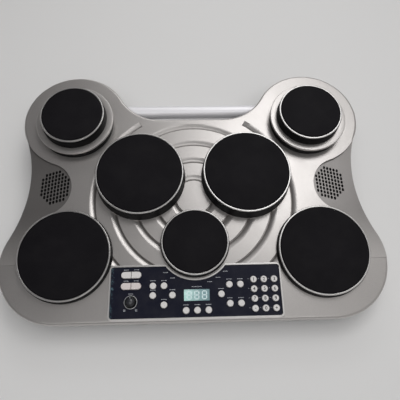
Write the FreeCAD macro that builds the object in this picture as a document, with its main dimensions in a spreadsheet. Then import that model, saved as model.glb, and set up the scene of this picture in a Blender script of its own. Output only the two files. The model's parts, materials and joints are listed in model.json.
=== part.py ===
import FreeCAD, Part
import math
import os
import Sketcher
from FreeCAD import Placement, Rotation, Vector

doc = FreeCAD.newDocument("electronic_drum_kit")
sheet = doc.addObject("Spreadsheet::Sheet", "Sizes")

# Driving sizes in millimetres and degrees, one cell each.
# Places named _x, _y are in the deck plane: x to the right, y up the slope.
SIZES = {
    # whole body: height of the deck plane over the origin of the deck, and its slope
    "deck_height": "65",
    "deck_slope": "5",
    "deck_back_y": "29.99",
    "overrun": "20",
    "clearance": "0.3",
    # outline of the body: rear lobes, waist, front corners, rear valley
    "lobe_x": "197",
    "lobe_y": "150",
    "lobe_radius": "86.5",
    "corner_x": "203.5",
    "corner_radius": "88",
    "front_edge_y": "182.5",
    "waist_radius": "215",
    "rear_edge_y": "150.5",
    "valley_radius": "78",
    "edge_roll": "4",
    # top housing
    "deck_thick": "5.5",
    "wall": "3",
    "skirt": "28",
    # ring grooves on the deck
    "groove_y": "7.6",
    "groove_first": "28",
    "groove_pitch": "31.5",
    "groove_width": "10.6",
    "groove_floor": "1.2",
    "groove_lean": "0.8",
    "groove_depth": "3.2",
    "groove_end_x": "87",
    # speaker recess at each side
    "speaker_x": "239.5",
    "speaker_y": "26",
    "recess_end_y": "96",
    "recess_top_y": "118",
    "recess_step": "1",
    "recess_slope": "1.4",
    "recess_shelf": "2.4",
    "recess_rim": "4",
    "grille_thick": "2.4",
    "hole_radius": "1.75",
    "hole_stretch": "0.95",
    "hole_pitch_x": "5.04",
    "hole_pitch_y": "6.4",
    "hole_lean_share": "0.24",
    "grille_x": "221",
    "grille_y": "29.5",
    "grille_half": "23.5",
    "grille_reach": "30.5",
    "slot_half": "22.6",
    "slot_reach": "9",
    "driver_radius": "33",
    "driver_flange": "2",
    "driver_neck": "15.5",
    "driver_cone": "13",
    "magnet_radius": "17",
    "magnet_height": "11",
    # pads: places in the deck plane, height of the rubber over the deck
    "cymbal_x": "193.5",
    "cymbal_y": "141.1",
    "cymbal_top": "37",
    "tom_x": "84.3",
    "tom_y": "42.3",
    "tom_top": "25",
    "wide_y": "83.1",
    "wide_top": "13",
    "centre_y": "67",
    "centre_top": "12.5",
    "large_skin": "66",
    "small_skin": "48.2",
    "skin_thick": "6",
    "skin_proud": "1.6",
    "skin_round": "1.8",
    "plate_thick": "1.2",
    "plate_inset": "1.5",
    "rim_width": "2.8",
    "rim_height": "3",
    "rim_round": "1",
    "shell_proud": "0.7",
    "shell_wall": "3",
    "shell_top": "2.4",
    "shell_hole": "20",
    "tom_flare": "2",
    "shell_flare": "1",
    "shell_tuck": "1.1",
    "piezo_radius": "13.5",
    "piezo_thick": "0.6",
    "wire_hole": "6",
    # cymbal plates and risers
    "tier_radius": "62.7",
    "tier_thick": "3.6",
    "tier_top": "17.5",
    "tier_round": "1.5",
    "riser_inset": "2",
    # control panel
    "panel_half": "124.4",
    "panel_rear_y": "102.3",
    "panel_front_y": "176",
    "panel_corner": "4",
    "panel_arc": "56.7",
    "lip_width": "2.8",
    "lip_height": "1.6",
    "lip_round": "0.7",
    "fascia_thick": "2",
    "fascia_drop": "0.2",
    "ledge": "2.3",
    "fascia_fit": "0.1",
    # keys: places across the panel are shares of its half width
    "key_radius": "4.7",
    "key_gap": "0.45",
    "key_top": "2.4",
    "key_round": "0.8",
    "key_travel": "1",
    "flange_width": "1.05",
    "flange_thick": "1.2",
    "stem_radius": "2",
    "stem_length": "5.3",
    "pill_half": "14.7",
    "pill_height": "4.8",
    "pill_split": "0.7",
    "side_x_share": "0.76045",
    "level_row_y": "114",
    "tempo_row_y": "130.3",
    "left_outer_share": "0.504",
    "left_middle_share": "0.3738",
    "left_inner_share": "0.2757",
    "upper_row_y": "130.6",
    "middle_row_y": "144.2",
    "lower_row_y": "157.8",
    "base_row_y": "166.3",
    "base_x": "1.6",
    "base_pitch_share": "0.1302",
    "right_inner_share": "0.2974",
    "right_middle_share": "0.3955",
    "right_outer_share": "0.5257",
    "pad_x_share": "0.8071",
    "pad_y": "144.9",
    "pad_pitch_share": "0.1222",
    "pad_pitch_y": "13.9",
    # volume knob and its control
    "knob_y": "153",
    "knob_radius": "7.3",
    "knob_top": "7.5",
    "knob_drop": "3.6",
    "knob_taper": "0.7",
    "knob_round": "0.9",
    "well_radius": "9.2",
    "shaft_radius": "3",
    "shaft_play": "0.05",
    "pot_radius": "8.6",
    "pot_height": "6.5",
    "shaft_depth": "5.5",
    # display
    "display_x": "1.2",
    "display_y": "144.6",
    "display_half": "18.7",
    "display_tall": "8.3",
    "window_thick": "1.6",
    "window_gap": "0.1",
    "module_margin": "2.2",
    # control board and key switches
    "board_margin": "7.6",
    "board_rear_y": "101",
    "board_front_y": "173",
    "board_thick": "1.6",
    "switch_side": "6",
    "switch_height": "3.3",
    "plunger_radius": "1.7",
    "plunger_height": "0.8",
    "switch_play": "0.4",
    "post_radius": "3",
    "post_inset": "3.5",
    # bottom housing
    "tray_inset": "1.2",
    "tray_floor": "4.5",
    "foot_proud": "5",
    "tray_deep": "130",
    # battery bay and door
    "bay_y": "40",
    "bay_half": "77.5",
    "bay_wide": "27.5",
    "bay_wall": "2.4",
    "cell_radius": "13.1",
    "cell_length": "50",
    "cell_gap": "0.5",
    "door_margin": "5",
    "door_thick": "2.2",
    "door_bevel": "2",
    "door_travel": "12",
    "catch_half": "14",
    "catch_wide": "3",
    "catch_deep": "1",
    # screws and their wells
    "rear_screw_x": "240",
    "rear_screw_y": "185",
    "inner_screw_x": "150",
    "inner_screw_y": "105",
    "front_screw_x": "243",
    "front_screw_y": "140",
    "screw_split": "18",
    "boss_radius": "4.6",
    "well_outer": "6.5",
    "well_bore": "4.2",
    "well_web": "4",
    "screw_radius": "1.5",
    "screw_bite": "8",
    "head_radius": "3.6",
    "head_height": "2.4",
    "screw_play": "0.4",
    # rear jacks and power inlet
    "jack_pitch": "24",
    "jack_drop": "58",
    "jack_bore": "3.25",
    "jack_barrel": "4.8",
    "jack_flange": "6.4",
    "jack_proud": "1.6",
    "jack_body": "7.4",
    "jack_depth": "20",
    "jack_floor": "2.5",
    "inlet_bore": "2.9",
    "pin_radius": "1",
    "pin_length": "9",
    # carry handle
    "handle_radius": "11.5",
    "handle_wall": "1.5",
    "handle_y": "190",
    "handle_drop": "41.5",
    "handle_seat": "14",
    "socket_wall": "3",
    # feet
    "front_foot_x": "215",
    "front_foot_y": "146",
    "rear_foot_x": "205",
    "rear_foot_y": "148",
    "foot_radius": "11",
    "foot_inset": "1.5",
    "foot_round": "1.5",
}
for row, (alias, text) in enumerate(SIZES.items(), start=1):
    sheet.set("A%d" % row, alias)
    sheet.set("B%d" % row, text)
    sheet.setAlias("B%d" % row, alias)
doc.recompute()


class Cells:
    def __getattr__(self, alias):
        return float(sheet.get(alias))


at = Cells()
X_AXIS = Vector(1, 0, 0)
Y_AXIS = Vector(0, 1, 0)
Z_AXIS = Vector(0, 0, 1)
# The deck frame: x right, y up the slope, z square to the deck.
deck = Placement(Vector(0, -at.deck_back_y, at.deck_height), Rotation(X_AXIS, at.deck_slope))
nodes = {}


def bind(obj, **sizes):
    for prop, formula in sizes.items():
        obj.setExpression(prop, formula)
    return obj


def spot(x, y, z=0.0):
    return Placement(Vector(x, y, z), Rotation())


def cylinder(name, place, radius, height):
    obj = doc.addObject("Part::Cylinder", name)
    obj.Placement = place
    return bind(obj, Radius=radius, Height=height)


def box(name, place, length, width, height):
    obj = doc.addObject("Part::Box", name)
    obj.Placement = place
    return bind(obj, Length=length, Width=width, Height=height)


def fuse(name, shapes):
    obj = doc.addObject("Part::MultiFuse", name)
    obj.Shapes = shapes
    return obj


def common(name, shapes):
    obj = doc.addObject("Part::MultiCommon", name)
    obj.Shapes = shapes
    return obj


def cut(name, base, tools):
    obj = doc.addObject("Part::Cut", name)
    obj.Base = base
    obj.Tool = tools[0] if len(tools) == 1 else fuse(name + "_tools", tools)
    return obj


def group(name, members):
    obj = doc.addObject("Part::Compound", name)
    obj.Links = members
    return obj


def node(name, obj):
    obj.Label = name
    nodes[name] = obj
    return obj


# A flat outline pushed along its own normal; the sketch lies at height z of the given place.
def extrude(name, edges, length, place=None):
    sketch = doc.addObject("Sketcher::SketchObject", name + "_outline")
    sketch.addGeometry(edges, False)
    sketch.Placement = place or Placement()
    obj = doc.addObject("Part::Extrusion", name)
    obj.Base = sketch
    obj.DirMode = "Normal"
    obj.Solid = True
    return bind(obj, LengthFwd=length)


# A round piece: a closed profile of radius and height formulas, turned about Z.
# Each round is the radius and height formula of an edge and its fillet radius.
def turned(name, place, profile, rounds=()):
    body = doc.addObject("PartDesign::Body", name)
    plane = [f for f in body.Origin.OriginFeatures if f.Role == "XZ_Plane"][0]
    sketch = body.newObject("Sketcher::SketchObject", name + "_profile")
    sketch.AttachmentSupport = [(plane, "")]
    sketch.MapMode = "FlatFace"
    corners = []
    for radius, height in profile:
        corners.append(Vector(value_of(radius), value_of(height), 0))
    count = len(corners)
    for i in range(count):
        sketch.addGeometry(Part.LineSegment(corners[i], corners[(i + 1) % count]), False)
    for i in range(count):
        sketch.addConstraint(Sketcher.Constraint("Coincident", i, 2, (i + 1) % count, 1))
    for i, (radius, height) in enumerate(profile):
        if radius == "0":
            sketch.addConstraint(Sketcher.Constraint("PointOnObject", i, 1, -2))
        else:
            k = sketch.addConstraint(Sketcher.Constraint("DistanceX", -1, 1, i, 1, corners[i].x))
            sketch.setExpression("Constraints[%d]" % k, radius)
        if height == "0":
            sketch.addConstraint(Sketcher.Constraint("PointOnObject", i, 1, -1))
        else:
            k = sketch.addConstraint(Sketcher.Constraint("DistanceY", -1, 1, i, 1, corners[i].y))
            sketch.setExpression("Constraints[%d]" % k, height)
    spin = body.newObject("PartDesign::Revolution", name + "_turned")
    spin.Profile = sketch
    spin.ReferenceAxis = (sketch, ["V_Axis"])
    spin.Angle = 360
    doc.recompute()
    last = spin
    for n, (radius, height, fillet) in enumerate(rounds):
        found = []
        for i, edge in enumerate(last.Shape.Edges):
            if not isinstance(edge.Curve, Part.Circle):
                continue
            same_radius = math.isclose(edge.Curve.Radius, value_of(radius), rel_tol=1e-6)
            centre = spin_height(body, edge)
            if same_radius and math.isclose(centre, value_of(height), rel_tol=1e-6, abs_tol=1e-6):
                found.append("Edge%d" % (i + 1))
        soft = body.newObject("PartDesign::Fillet", "%s_round%d" % (name, n))
        soft.Base = (last, found)
        bind(soft, Radius=fillet)
        doc.recompute()
        last = soft
    body.Placement = place
    return body


def spin_height(body, edge):
    return body.Placement.inverse().multVec(edge.Curve.Center).z


def value_of(formula):
    return float(sheet.evalExpression(formula.replace("Sizes.", "")))


def arc(centre, radius, start, end):
    while end < start:
        end += 2 * math.pi
    return Part.ArcOfCircle(Part.Circle(centre, Z_AXIS, radius), start, end)


def toward(a, b):
    return math.atan2(b.y - a.y, b.x - a.x)


def polar(centre, radius, angle):
    return centre + Vector(radius * math.cos(angle), radius * math.sin(angle), 0)


def mirrored(point, side):
    return Vector(side * point.x, point.y, 0)


def turn_side(angle, side):
    return angle if side > 0 else math.pi - angle


# Upright slot with round ends of the given radius, centred that far above and below its middle.
def slot_outline(mid, radius, reach):
    top = mid + Vector(0, reach, 0)
    bottom = mid - Vector(0, reach, 0)
    aside = Vector(radius, 0, 0)
    return [
        arc(top, radius, 0, math.pi),
        arc(bottom, radius, math.pi, 2 * math.pi),
        Part.LineSegment(top + aside, bottom + aside),
        Part.LineSegment(top - aside, bottom - aside),
    ]


# Arc between two angles seen on the right side, mirrored for the left.
def side_arc(centre, radius, start, end, side):
    if side > 0:
        return arc(centre, radius, start, end)
    return arc(mirrored(centre, side), radius, turn_side(end, side), turn_side(start, side))


# Body outline: front corners, waist, rear lobes and valley, each arc tangent to the next.
lobe = Vector(at.lobe_x, at.lobe_y, 0)
corner = Vector(at.corner_x, at.corner_radius - at.front_edge_y, 0)
reach_lobe = at.waist_radius + at.lobe_radius
reach_corner = at.waist_radius + at.corner_radius
between = lobe.sub(corner).Length
along = (reach_corner ** 2 - reach_lobe ** 2 + between ** 2) / (2 * between)
across = math.sqrt(reach_corner ** 2 - along ** 2)
up = lobe.sub(corner).normalize()
waist = corner + Vector(up.x * along + up.y * across, up.y * along - up.x * across, 0)
valley_up = at.rear_edge_y + at.valley_radius
valley_in = (at.valley_radius + at.lobe_radius) ** 2 - (valley_up - at.lobe_y) ** 2
valley = Vector(at.lobe_x - math.sqrt(valley_in), valley_up, 0)


def body_outline(inset):
    edges = []
    for side in (1, -1):
        low = toward(corner, waist)
        edges.append(side_arc(corner, at.corner_radius - inset, -math.pi / 2, low, side))
        high = toward(waist, corner)
        mid = toward(waist, lobe)
        edges.append(side_arc(waist, at.waist_radius + inset, mid, high, side))
        out = toward(lobe, waist)
        back = toward(lobe, valley)
        edges.append(side_arc(lobe, at.lobe_radius - inset, out, back, side))
        join = toward(valley, lobe)
        edges.append(side_arc(valley, at.valley_radius + inset, -math.pi / 2, join, side))
    front = inset - at.front_edge_y
    rear = at.rear_edge_y - inset
    edges.append(Part.LineSegment(Vector(-corner.x, front, 0), Vector(corner.x, front, 0)))
    edges.append(Part.LineSegment(Vector(-valley.x, rear, 0), Vector(valley.x, rear, 0)))
    return edges


# Speaker recess: follows the lobe, swings round the loudspeaker, then follows the front pad.
# The foot of each front pad just laps the end of the panel.
speaker = Vector(at.speaker_x, at.speaker_y, 0)
wide_foot = at.large_skin + at.rim_width + at.shell_proud + at.shell_flare
wide_x = at.panel_half + wide_foot - at.shell_tuck
wide_pad = Vector(wide_x, -at.wide_y, 0)
recess_lobe = at.lobe_radius - at.recess_step
recess_round = speaker.sub(lobe).Length - recess_lobe
recess_pad = speaker.sub(wide_pad).Length - recess_round
recess_out = at.corner_x + at.corner_radius + at.overrun


def recess_outline(inset, side):
    high = at.recess_top_y
    low = inset - at.recess_end_y
    lobe_reach = recess_lobe + inset
    pad_reach = recess_pad + inset
    start = math.asin((high - lobe.y) / lobe_reach)
    end = math.asin((low - wide_pad.y) / pad_reach)
    first = polar(lobe, lobe_reach, start)
    last = polar(wide_pad, pad_reach, end)
    edges = [
        side_arc(lobe, lobe_reach, toward(lobe, speaker), start, side),
        side_arc(speaker, recess_round - inset, toward(speaker, lobe), toward(speaker, wide_pad), side),
        side_arc(wide_pad, pad_reach, end, toward(wide_pad, speaker), side),
    ]
    path = [first, Vector(recess_out, high, 0), Vector(recess_out, low, 0), last]
    path = [mirrored(p, side) for p in path]
    for a, b in zip(path, path[1:]):
        edges.append(Part.LineSegment(a, b))
    return edges


# Panel outline: a rounded rectangle with the bite that the centre pad takes out of its rear edge.
centre_pad = Vector(0, -at.centre_y, 0)


def panel_outline(grow):
    half = at.panel_half + grow
    rear = grow - at.panel_rear_y
    front = -at.panel_front_y - grow
    bend = at.panel_corner + grow
    bite = at.panel_arc - grow
    start = math.asin((rear - centre_pad.y) / bite)
    edges = [
        arc(Vector(half - bend, rear - bend, 0), bend, 0, math.pi / 2),
        arc(Vector(bend - half, rear - bend, 0), bend, math.pi / 2, math.pi),
        arc(Vector(bend - half, front + bend, 0), bend, math.pi, 3 * math.pi / 2),
        arc(Vector(half - bend, front + bend, 0), bend, 3 * math.pi / 2, 2 * math.pi),
        arc(centre_pad, bite, math.pi - start, 2 * math.pi + start),
    ]
    edge_x = bite * math.cos(start)
    lines = [
        (Vector(half - bend, rear, 0), Vector(edge_x, rear, 0)),
        (Vector(-edge_x, rear, 0), Vector(bend - half, rear, 0)),
        (Vector(-half, rear - bend, 0), Vector(-half, front + bend, 0)),
        (Vector(bend - half, front, 0), Vector(half - bend, front, 0)),
        (Vector(half, front + bend, 0), Vector(half, rear - bend, 0)),
    ]
    for a, b in lines:
        edges.append(Part.LineSegment(a, b))
    return edges


# Pads: name, place, height of the rubber, rubber radius, flare of the shell, height of its seat.
large = "Sizes.large_skin"
small = "Sizes.small_skin"
PADS = []
for side, word in ((-1, "left"), (1, "right")):
    place = Vector(side * at.cymbal_x, at.cymbal_y, 0)
    PADS.append((word + "_cymbal_pad", place, "Sizes.cymbal_top", small, "Sizes.shell_flare",
                 "Sizes.tier_top"))
    place = Vector(side * at.tom_x, at.tom_y, 0)
    PADS.append((word + "_tom_pad", place, "Sizes.tom_top", large, "Sizes.tom_flare", "0"))
    place = Vector(side * wide_x, -at.wide_y, 0)
    PADS.append((word + "_front_pad", place, "Sizes.wide_top", large, "Sizes.shell_flare", "0"))
PADS.append(("centre_pad", centre_pad, "Sizes.centre_top", small, "Sizes.shell_flare", "0"))

rims = []
shells = []
plates = []
piezos = []
seats = []
for name, place, top, skin, flare, seat in PADS:
    base = deck.multiply(spot(place.x, place.y, value_of(seat)))
    rise = "(%s - (%s))" % (top, seat)
    under = "(%s - Sizes.skin_thick)" % rise
    sheet_low = "(%s - Sizes.plate_thick)" % under
    wall_top = "(%s - Sizes.skin_proud - Sizes.rim_height)" % rise
    lip = "(%s + Sizes.clearance)" % skin
    rim_out = "(%s + Sizes.rim_width)" % skin
    shell_out = "(%s + Sizes.shell_proud)" % rim_out
    foot_out = "(%s + %s)" % (shell_out, flare)
    inner_top = "(%s - Sizes.shell_top)" % sheet_low
    # rubber skin: a flat disc with a rounded rim
    profile = [("0", under), (skin, under), (skin, rise), ("0", rise)]
    pad_skin = turned(name + "_skin", base, profile, [(skin, rise, "Sizes.skin_round")])
    node(name + "_skin", pad_skin)
    # silver rim that frames the rubber
    rim_top = "(%s - Sizes.skin_proud)" % rise
    profile = [(lip, wall_top), (rim_out, wall_top), (rim_out, rim_top), (lip, rim_top)]
    rounds = [(rim_out, rim_top, "Sizes.rim_round")]
    rims.append(turned(name + "_rim", base, profile, rounds))
    # black shell, an upturned cup with a ledge for the sensor plate
    profile = [
        ("Sizes.shell_hole", inner_top),
        ("(%s - Sizes.shell_wall)" % shell_out, inner_top),
        ("(%s - Sizes.shell_wall)" % foot_out, "0"),
        (foot_out, "0"),
        (shell_out, wall_top),
        (lip, wall_top),
        (lip, sheet_low),
        ("Sizes.shell_hole", sheet_low),
    ]
    shells.append(turned(name + "_shell", base, profile))
    # steel sensor plate under the rubber and the piezo disc stuck to it
    low = base.multiply(spot(0, 0, value_of(sheet_low)))
    plates.append(cylinder(name + "_plate", low, "%s - Sizes.plate_inset" % skin, "Sizes.plate_thick"))
    lower = base.multiply(spot(0, 0, value_of(sheet_low) - at.piezo_thick))
    piezos.append(cylinder(name + "_piezo", lower, "Sizes.piezo_radius", "Sizes.piezo_thick"))
    # seat of the pad on the deck, kept free of grooves
    ring = foot_out if seat == "0" else "Sizes.tier_radius"
    seats.append((name, place, ring))
node("pad_rims", group("pad_rims", rims))
node("pad_shells", group("pad_shells", shells))
node("sensor_plates", group("sensor_plates", plates))
node("piezo_sensors", group("piezo_sensors", piezos))

# Cymbal plates: a silver disc on a black riser at each rear pad.
tiers = []
risers = []
tier_low = "(Sizes.tier_top - Sizes.tier_thick)"
riser_out = "(Sizes.tier_radius - Sizes.riser_inset)"
for side, word in ((-1, "left"), (1, "right")):
    base = deck.multiply(spot(side * at.cymbal_x, at.cymbal_y))
    profile = [
        ("Sizes.wire_hole", tier_low),
        ("Sizes.tier_radius", tier_low),
        ("Sizes.tier_radius", "Sizes.tier_top"),
        ("Sizes.wire_hole", "Sizes.tier_top"),
    ]
    rounds = [("Sizes.tier_radius", "Sizes.tier_top", "Sizes.tier_round")]
    tiers.append(turned(word + "_tier", base, profile, rounds))
    profile = [
        ("Sizes.wire_hole", "(%s - Sizes.shell_top)" % tier_low),
        ("(%s - Sizes.shell_wall)" % riser_out, "(%s - Sizes.shell_top)" % tier_low),
        ("(%s - Sizes.shell_wall)" % riser_out, "0"),
        (riser_out, "0"),
        (riser_out, tier_low),
        ("Sizes.wire_hole", tier_low),
    ]
    risers.append(turned(word + "_riser", base, profile))
node("cymbal_plates", group("cymbal_plates", tiers))
node("cymbal_risers", group("cymbal_risers", risers))

# Grooves: five rings of channels, steep inside and ramped outside, cleared under the pads.
RING_COUNT = 5
sections = []
for i in range(RING_COUNT):
    inner = at.groove_first + i * at.groove_pitch
    outer = inner + at.groove_width
    floor_in = inner + at.groove_lean
    points = [
        Vector(inner, at.overrun, 0),
        Vector(inner, 0, 0),
        Vector(floor_in, -at.groove_depth, 0),
        Vector(floor_in + at.groove_floor, -at.groove_depth, 0),
        Vector(outer, 0, 0),
        Vector(outer, at.overrun, 0),
    ]
    for a, b in zip(points, points[1:] + points[:1]):
        sections.append(Part.LineSegment(a, b))
groove_sketch = doc.addObject("Sketcher::SketchObject", "groove_sections")
groove_sketch.addGeometry(sections, False)
groove_sketch.Placement = Placement(Vector(0, at.groove_y, 0), Rotation(X_AXIS, 90))
grooves = doc.addObject("Part::Revolution", "groove_rings")
grooves.Source = groove_sketch
grooves.Axis = Z_AXIS
grooves.Base = Vector(0, at.groove_y, 0)
grooves.Angle = 360
grooves.Solid = True
keep = []
below = -at.overrun
for name, place, ring in seats:
    height = "2 * Sizes.overrun + Sizes.overrun"
    keep.append(cylinder(name + "_seat", spot(place.x, place.y, below), ring, height))
panel_top = at.lip_width - at.panel_rear_y
panel_block = box(
    "panel_block", spot(-at.corner_x, panel_top - 2 * at.panel_front_y, below),
    "2 * Sizes.corner_x", "2 * Sizes.panel_front_y", "3 * Sizes.overrun")
keep.append(panel_block)
# the outermost ring stops short at the rear with a square end on each side
outer_in = at.groove_first + (RING_COUNT - 1) * at.groove_pitch - at.groove_width
outer_out = outer_in + 3 * at.groove_width
stop = math.acos(at.groove_end_x / (outer_in + at.groove_width + at.groove_width / 2))
ring_centre = Vector(0, at.groove_y, 0)
rear_stop = [
    arc(ring_centre, outer_out, stop, math.pi - stop),
    arc(ring_centre, outer_in, stop, math.pi - stop),
    Part.LineSegment(polar(ring_centre, outer_in, stop), polar(ring_centre, outer_out, stop)),
    Part.LineSegment(
        polar(ring_centre, outer_in, math.pi - stop), polar(ring_centre, outer_out, math.pi - stop)),
]
keep.append(extrude("groove_stop", rear_stop, "3 * Sizes.overrun", spot(0, 0, below)))
groove_cut = cut("groove_cut", grooves, keep)

# Speaker recess tools: the side outline, floored by a plane that falls from the front end to the rear.
recess_fall = at.grille_thick + at.recess_shelf
recess_lean = Rotation(X_AXIS, -at.recess_slope)


# Block above the sloping plane that lies the given depth under the recess surface.
def slope_block(name, depth):
    hinge = Placement(Vector(0, -at.recess_end_y, -depth), recess_lean)
    wide = "2 * (Sizes.corner_x + Sizes.corner_radius + Sizes.overrun)"
    return box(name, hinge.multiply(spot(-recess_out, -recess_out)), wide, wide, "4 * Sizes.overrun")


recess_cuts = []
tubs = []
slots = []
for side, word in ((-1, "left"), (1, "right")):
    deep = spot(0, 0, -at.skirt)
    region = extrude(word + "_recess_region", recess_outline(0, side), "Sizes.skirt + Sizes.overrun", deep)
    block = slope_block(word + "_recess_slope", at.grille_thick)
    recess_cuts.append(common(word + "_recess", [region, block]))
    wide = extrude(
        word + "_tub_region", recess_outline(-at.recess_rim, side), "Sizes.skirt + Sizes.overrun", deep)
    block = slope_block(word + "_tub_slope", recess_fall)
    tubs.append(common(word + "_tub", [wide, block]))
    # opening over the loudspeaker
    slot = slot_outline(Vector(side * at.grille_x, at.grille_y, 0), at.slot_half, at.slot_reach)
    slots.append(extrude(word + "_speaker_slot", slot, "Sizes.skirt + Sizes.overrun", deep))

# Top housing: the rolled outer body, hollowed from below, with every recess and seat cut in.
outer_body = extrude("deck_outer", body_outline(0), "Sizes.skirt", spot(0, 0, -at.skirt))
doc.recompute()
rolled = doc.addObject("Part::Fillet", "deck_rolled")
rolled.Base = outer_body
rolled_edges = []
for i, edge in enumerate(outer_body.Shape.Edges):
    heights = [v.Z for v in edge.Vertexes]
    if min(heights) > -at.clearance:
        rolled_edges.append((i + 1, at.edge_roll, at.edge_roll))
rolled.Edges = rolled_edges
hollow_whole = extrude(
    "deck_hollow", body_outline(at.wall), "Sizes.skirt + Sizes.overrun - Sizes.deck_thick",
    spot(0, 0, -at.skirt - at.overrun))
hollow = cut("deck_cavity", hollow_whole, tubs)
# panel lip standing round the fascia
lip_low = -at.deck_thick
lip_outer = extrude("lip_outer", panel_outline(at.lip_width), "Sizes.deck_thick + Sizes.lip_height",
                    spot(0, 0, lip_low))
front_seats = []
for name, place, ring in seats:
    if name.endswith("front_pad"):
        front_seats.append(cylinder(name + "_clear", spot(place.x, place.y), ring + " + Sizes.clearance",
                                    "Sizes.overrun"))
doc.recompute()
lip_soft = doc.addObject("Part::Fillet", "lip_soft")
lip_soft.Base = lip_outer
lip_edges = []
for i, edge in enumerate(lip_outer.Shape.Edges):
    if min(v.Z for v in edge.Vertexes) > 0:
        lip_edges.append((i + 1, at.lip_round, at.lip_round))
lip_soft.Edges = lip_edges
lip = cut("panel_lip", lip_soft, front_seats)
fascia_depth = "(Sizes.fascia_drop + Sizes.fascia_thick)"
fascia_low = -value_of(fascia_depth)
panel_recess = extrude("panel_recess", panel_outline(at.fascia_fit), "Sizes.overrun", spot(0, 0, fascia_low))
panel_open = extrude("panel_opening", panel_outline(-at.ledge), "3 * Sizes.overrun", spot(0, 0, below))
wire_holes = []
for name, place, ring in seats:
    wire_holes.append(
        cylinder(name + "_wire", spot(place.x, place.y, below), "Sizes.wire_hole", "2 * Sizes.overrun"))
# bosses for the housing screws and posts for the control board, under the deck
SCREWS = []
for side in (-1, 1):
    SCREWS.append((side * at.rear_screw_x, at.rear_screw_y))
    SCREWS.append((side * at.inner_screw_x, at.inner_screw_y))
    SCREWS.append((side * at.front_screw_x, -at.front_screw_y))
bosses = []
pilots = []
for i, (x, y) in enumerate(SCREWS):
    bosses.append(cylinder("boss_%d" % i, spot(x, y, -at.screw_split), "Sizes.boss_radius",
                           "Sizes.screw_split - Sizes.deck_thick / 2"))
    pilots.append(cylinder("pilot_%d" % i, spot(x, y, -at.screw_split),
                           "Sizes.screw_radius + Sizes.shaft_play", "Sizes.screw_bite + Sizes.screw_play"))
stem_depth = "(%s + Sizes.clearance + Sizes.flange_thick + Sizes.stem_length)" % fascia_depth
stem_low = -value_of(stem_depth)
switch_depth = "(%s + Sizes.key_travel + Sizes.switch_play)" % stem_depth
board_depth = "(%s + Sizes.plunger_height + Sizes.switch_height)" % switch_depth
board_top = -value_of(board_depth)
board_half = at.panel_half + at.board_margin
posts = []
post_x = board_half - at.post_inset
post_rear = -at.board_rear_y - at.post_inset
post_front = at.post_inset - at.board_front_y
POSTS = ((-post_x, post_rear), (post_x, post_rear), (-post_x, post_front), (post_x, post_front))
for i, (x, y) in enumerate(POSTS):
    posts.append(cylinder("post_%d" % i, spot(x, y, board_top), "Sizes.post_radius",
                          board_depth + " - Sizes.deck_thick / 2"))
deck_shell = cut("deck_shell", rolled, [hollow] + recess_cuts + slots + [groove_cut])
deck_full = fuse("deck_full", [deck_shell, lip] + bosses + posts)
top_housing = cut("top_housing", deck_full, [panel_recess, panel_open] + wire_holes + pilots)
top_housing.Placement = deck
node("top_housing", top_housing)

# Speaker grilles: perforated plates lying in the side recesses.
# the holes are upright slots in columns, each a little lower than the next one inwards, within an oval
hole_columns = int(at.grille_half // at.hole_pitch_x)
HOLES = []
for c in range(-hole_columns, hole_columns + 1):
    column_x = c * at.hole_pitch_x
    column_reach = at.grille_reach * math.sqrt(1 - (column_x / at.grille_half) ** 2)
    column_drop = c * at.hole_lean_share * at.hole_pitch_y
    lowest = math.ceil((column_drop - column_reach) / at.hole_pitch_y)
    highest = math.floor((column_drop + column_reach) / at.hole_pitch_y)
    for k in range(lowest, highest + 1):
        HOLES.append((column_x, k * at.hole_pitch_y - column_drop))
for side, word in ((-1, "left"), (1, "right")):
    deep = spot(0, 0, -at.skirt)
    region = extrude(word + "_grille_region", recess_outline(at.clearance, side),
                     "Sizes.skirt + Sizes.overrun", deep)
    rim = extrude(word + "_grille_rim", body_outline(at.recess_step), "Sizes.skirt + Sizes.overrun", deep)
    above = slope_block(word + "_grille_under", at.grille_thick)
    upper = slope_block(word + "_grille_over", 0)
    plate = common(word + "_grille_blank", [region, rim, above])
    edges = []
    for x, y in HOLES:
        middle = Vector(side * (at.grille_x + x), at.grille_y + y, 0)
        edges += slot_outline(middle, at.hole_radius, at.hole_stretch)
    holes = extrude(word + "_grille_holes", edges, "Sizes.skirt + Sizes.overrun", deep)
    grille = cut(word + "_speaker_grille", plate, [upper, holes])
    grille.Placement = deck
    node(word + "_speaker_grille", grille)

# Loudspeakers hang under the recess shelf: flange, cone basket and magnet in one turned shape.
drivers = []
for side, word in ((-1, "left"), (1, "right")):
    lean = Placement(Vector(side * at.grille_x, -at.recess_end_y, -recess_fall), recess_lean)
    up_slope = (at.grille_y + at.recess_end_y) / math.cos(math.radians(at.recess_slope))
    place = deck.multiply(lean).multiply(Placement(Vector(0, up_slope, 0), Rotation(X_AXIS, 180)))
    neck = "(Sizes.driver_flange + Sizes.driver_cone)"
    profile = [
        ("0", "Sizes.driver_cone"),
        ("Sizes.driver_neck - Sizes.driver_flange", "Sizes.driver_cone"),
        ("Sizes.driver_radius - 2 * Sizes.driver_flange", "0"),
        ("Sizes.driver_radius", "0"),
        ("Sizes.driver_radius", "Sizes.driver_flange"),
        ("Sizes.driver_radius - Sizes.driver_flange", "Sizes.driver_flange"),
        ("Sizes.driver_neck", neck),
        ("Sizes.magnet_radius", neck),
        ("Sizes.magnet_radius", neck + " + Sizes.magnet_height"),
        ("0", neck + " + Sizes.magnet_height"),
    ]
    drivers.append(turned(word + "_driver", place, profile))
node("loudspeakers", group("loudspeakers", drivers))

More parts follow.
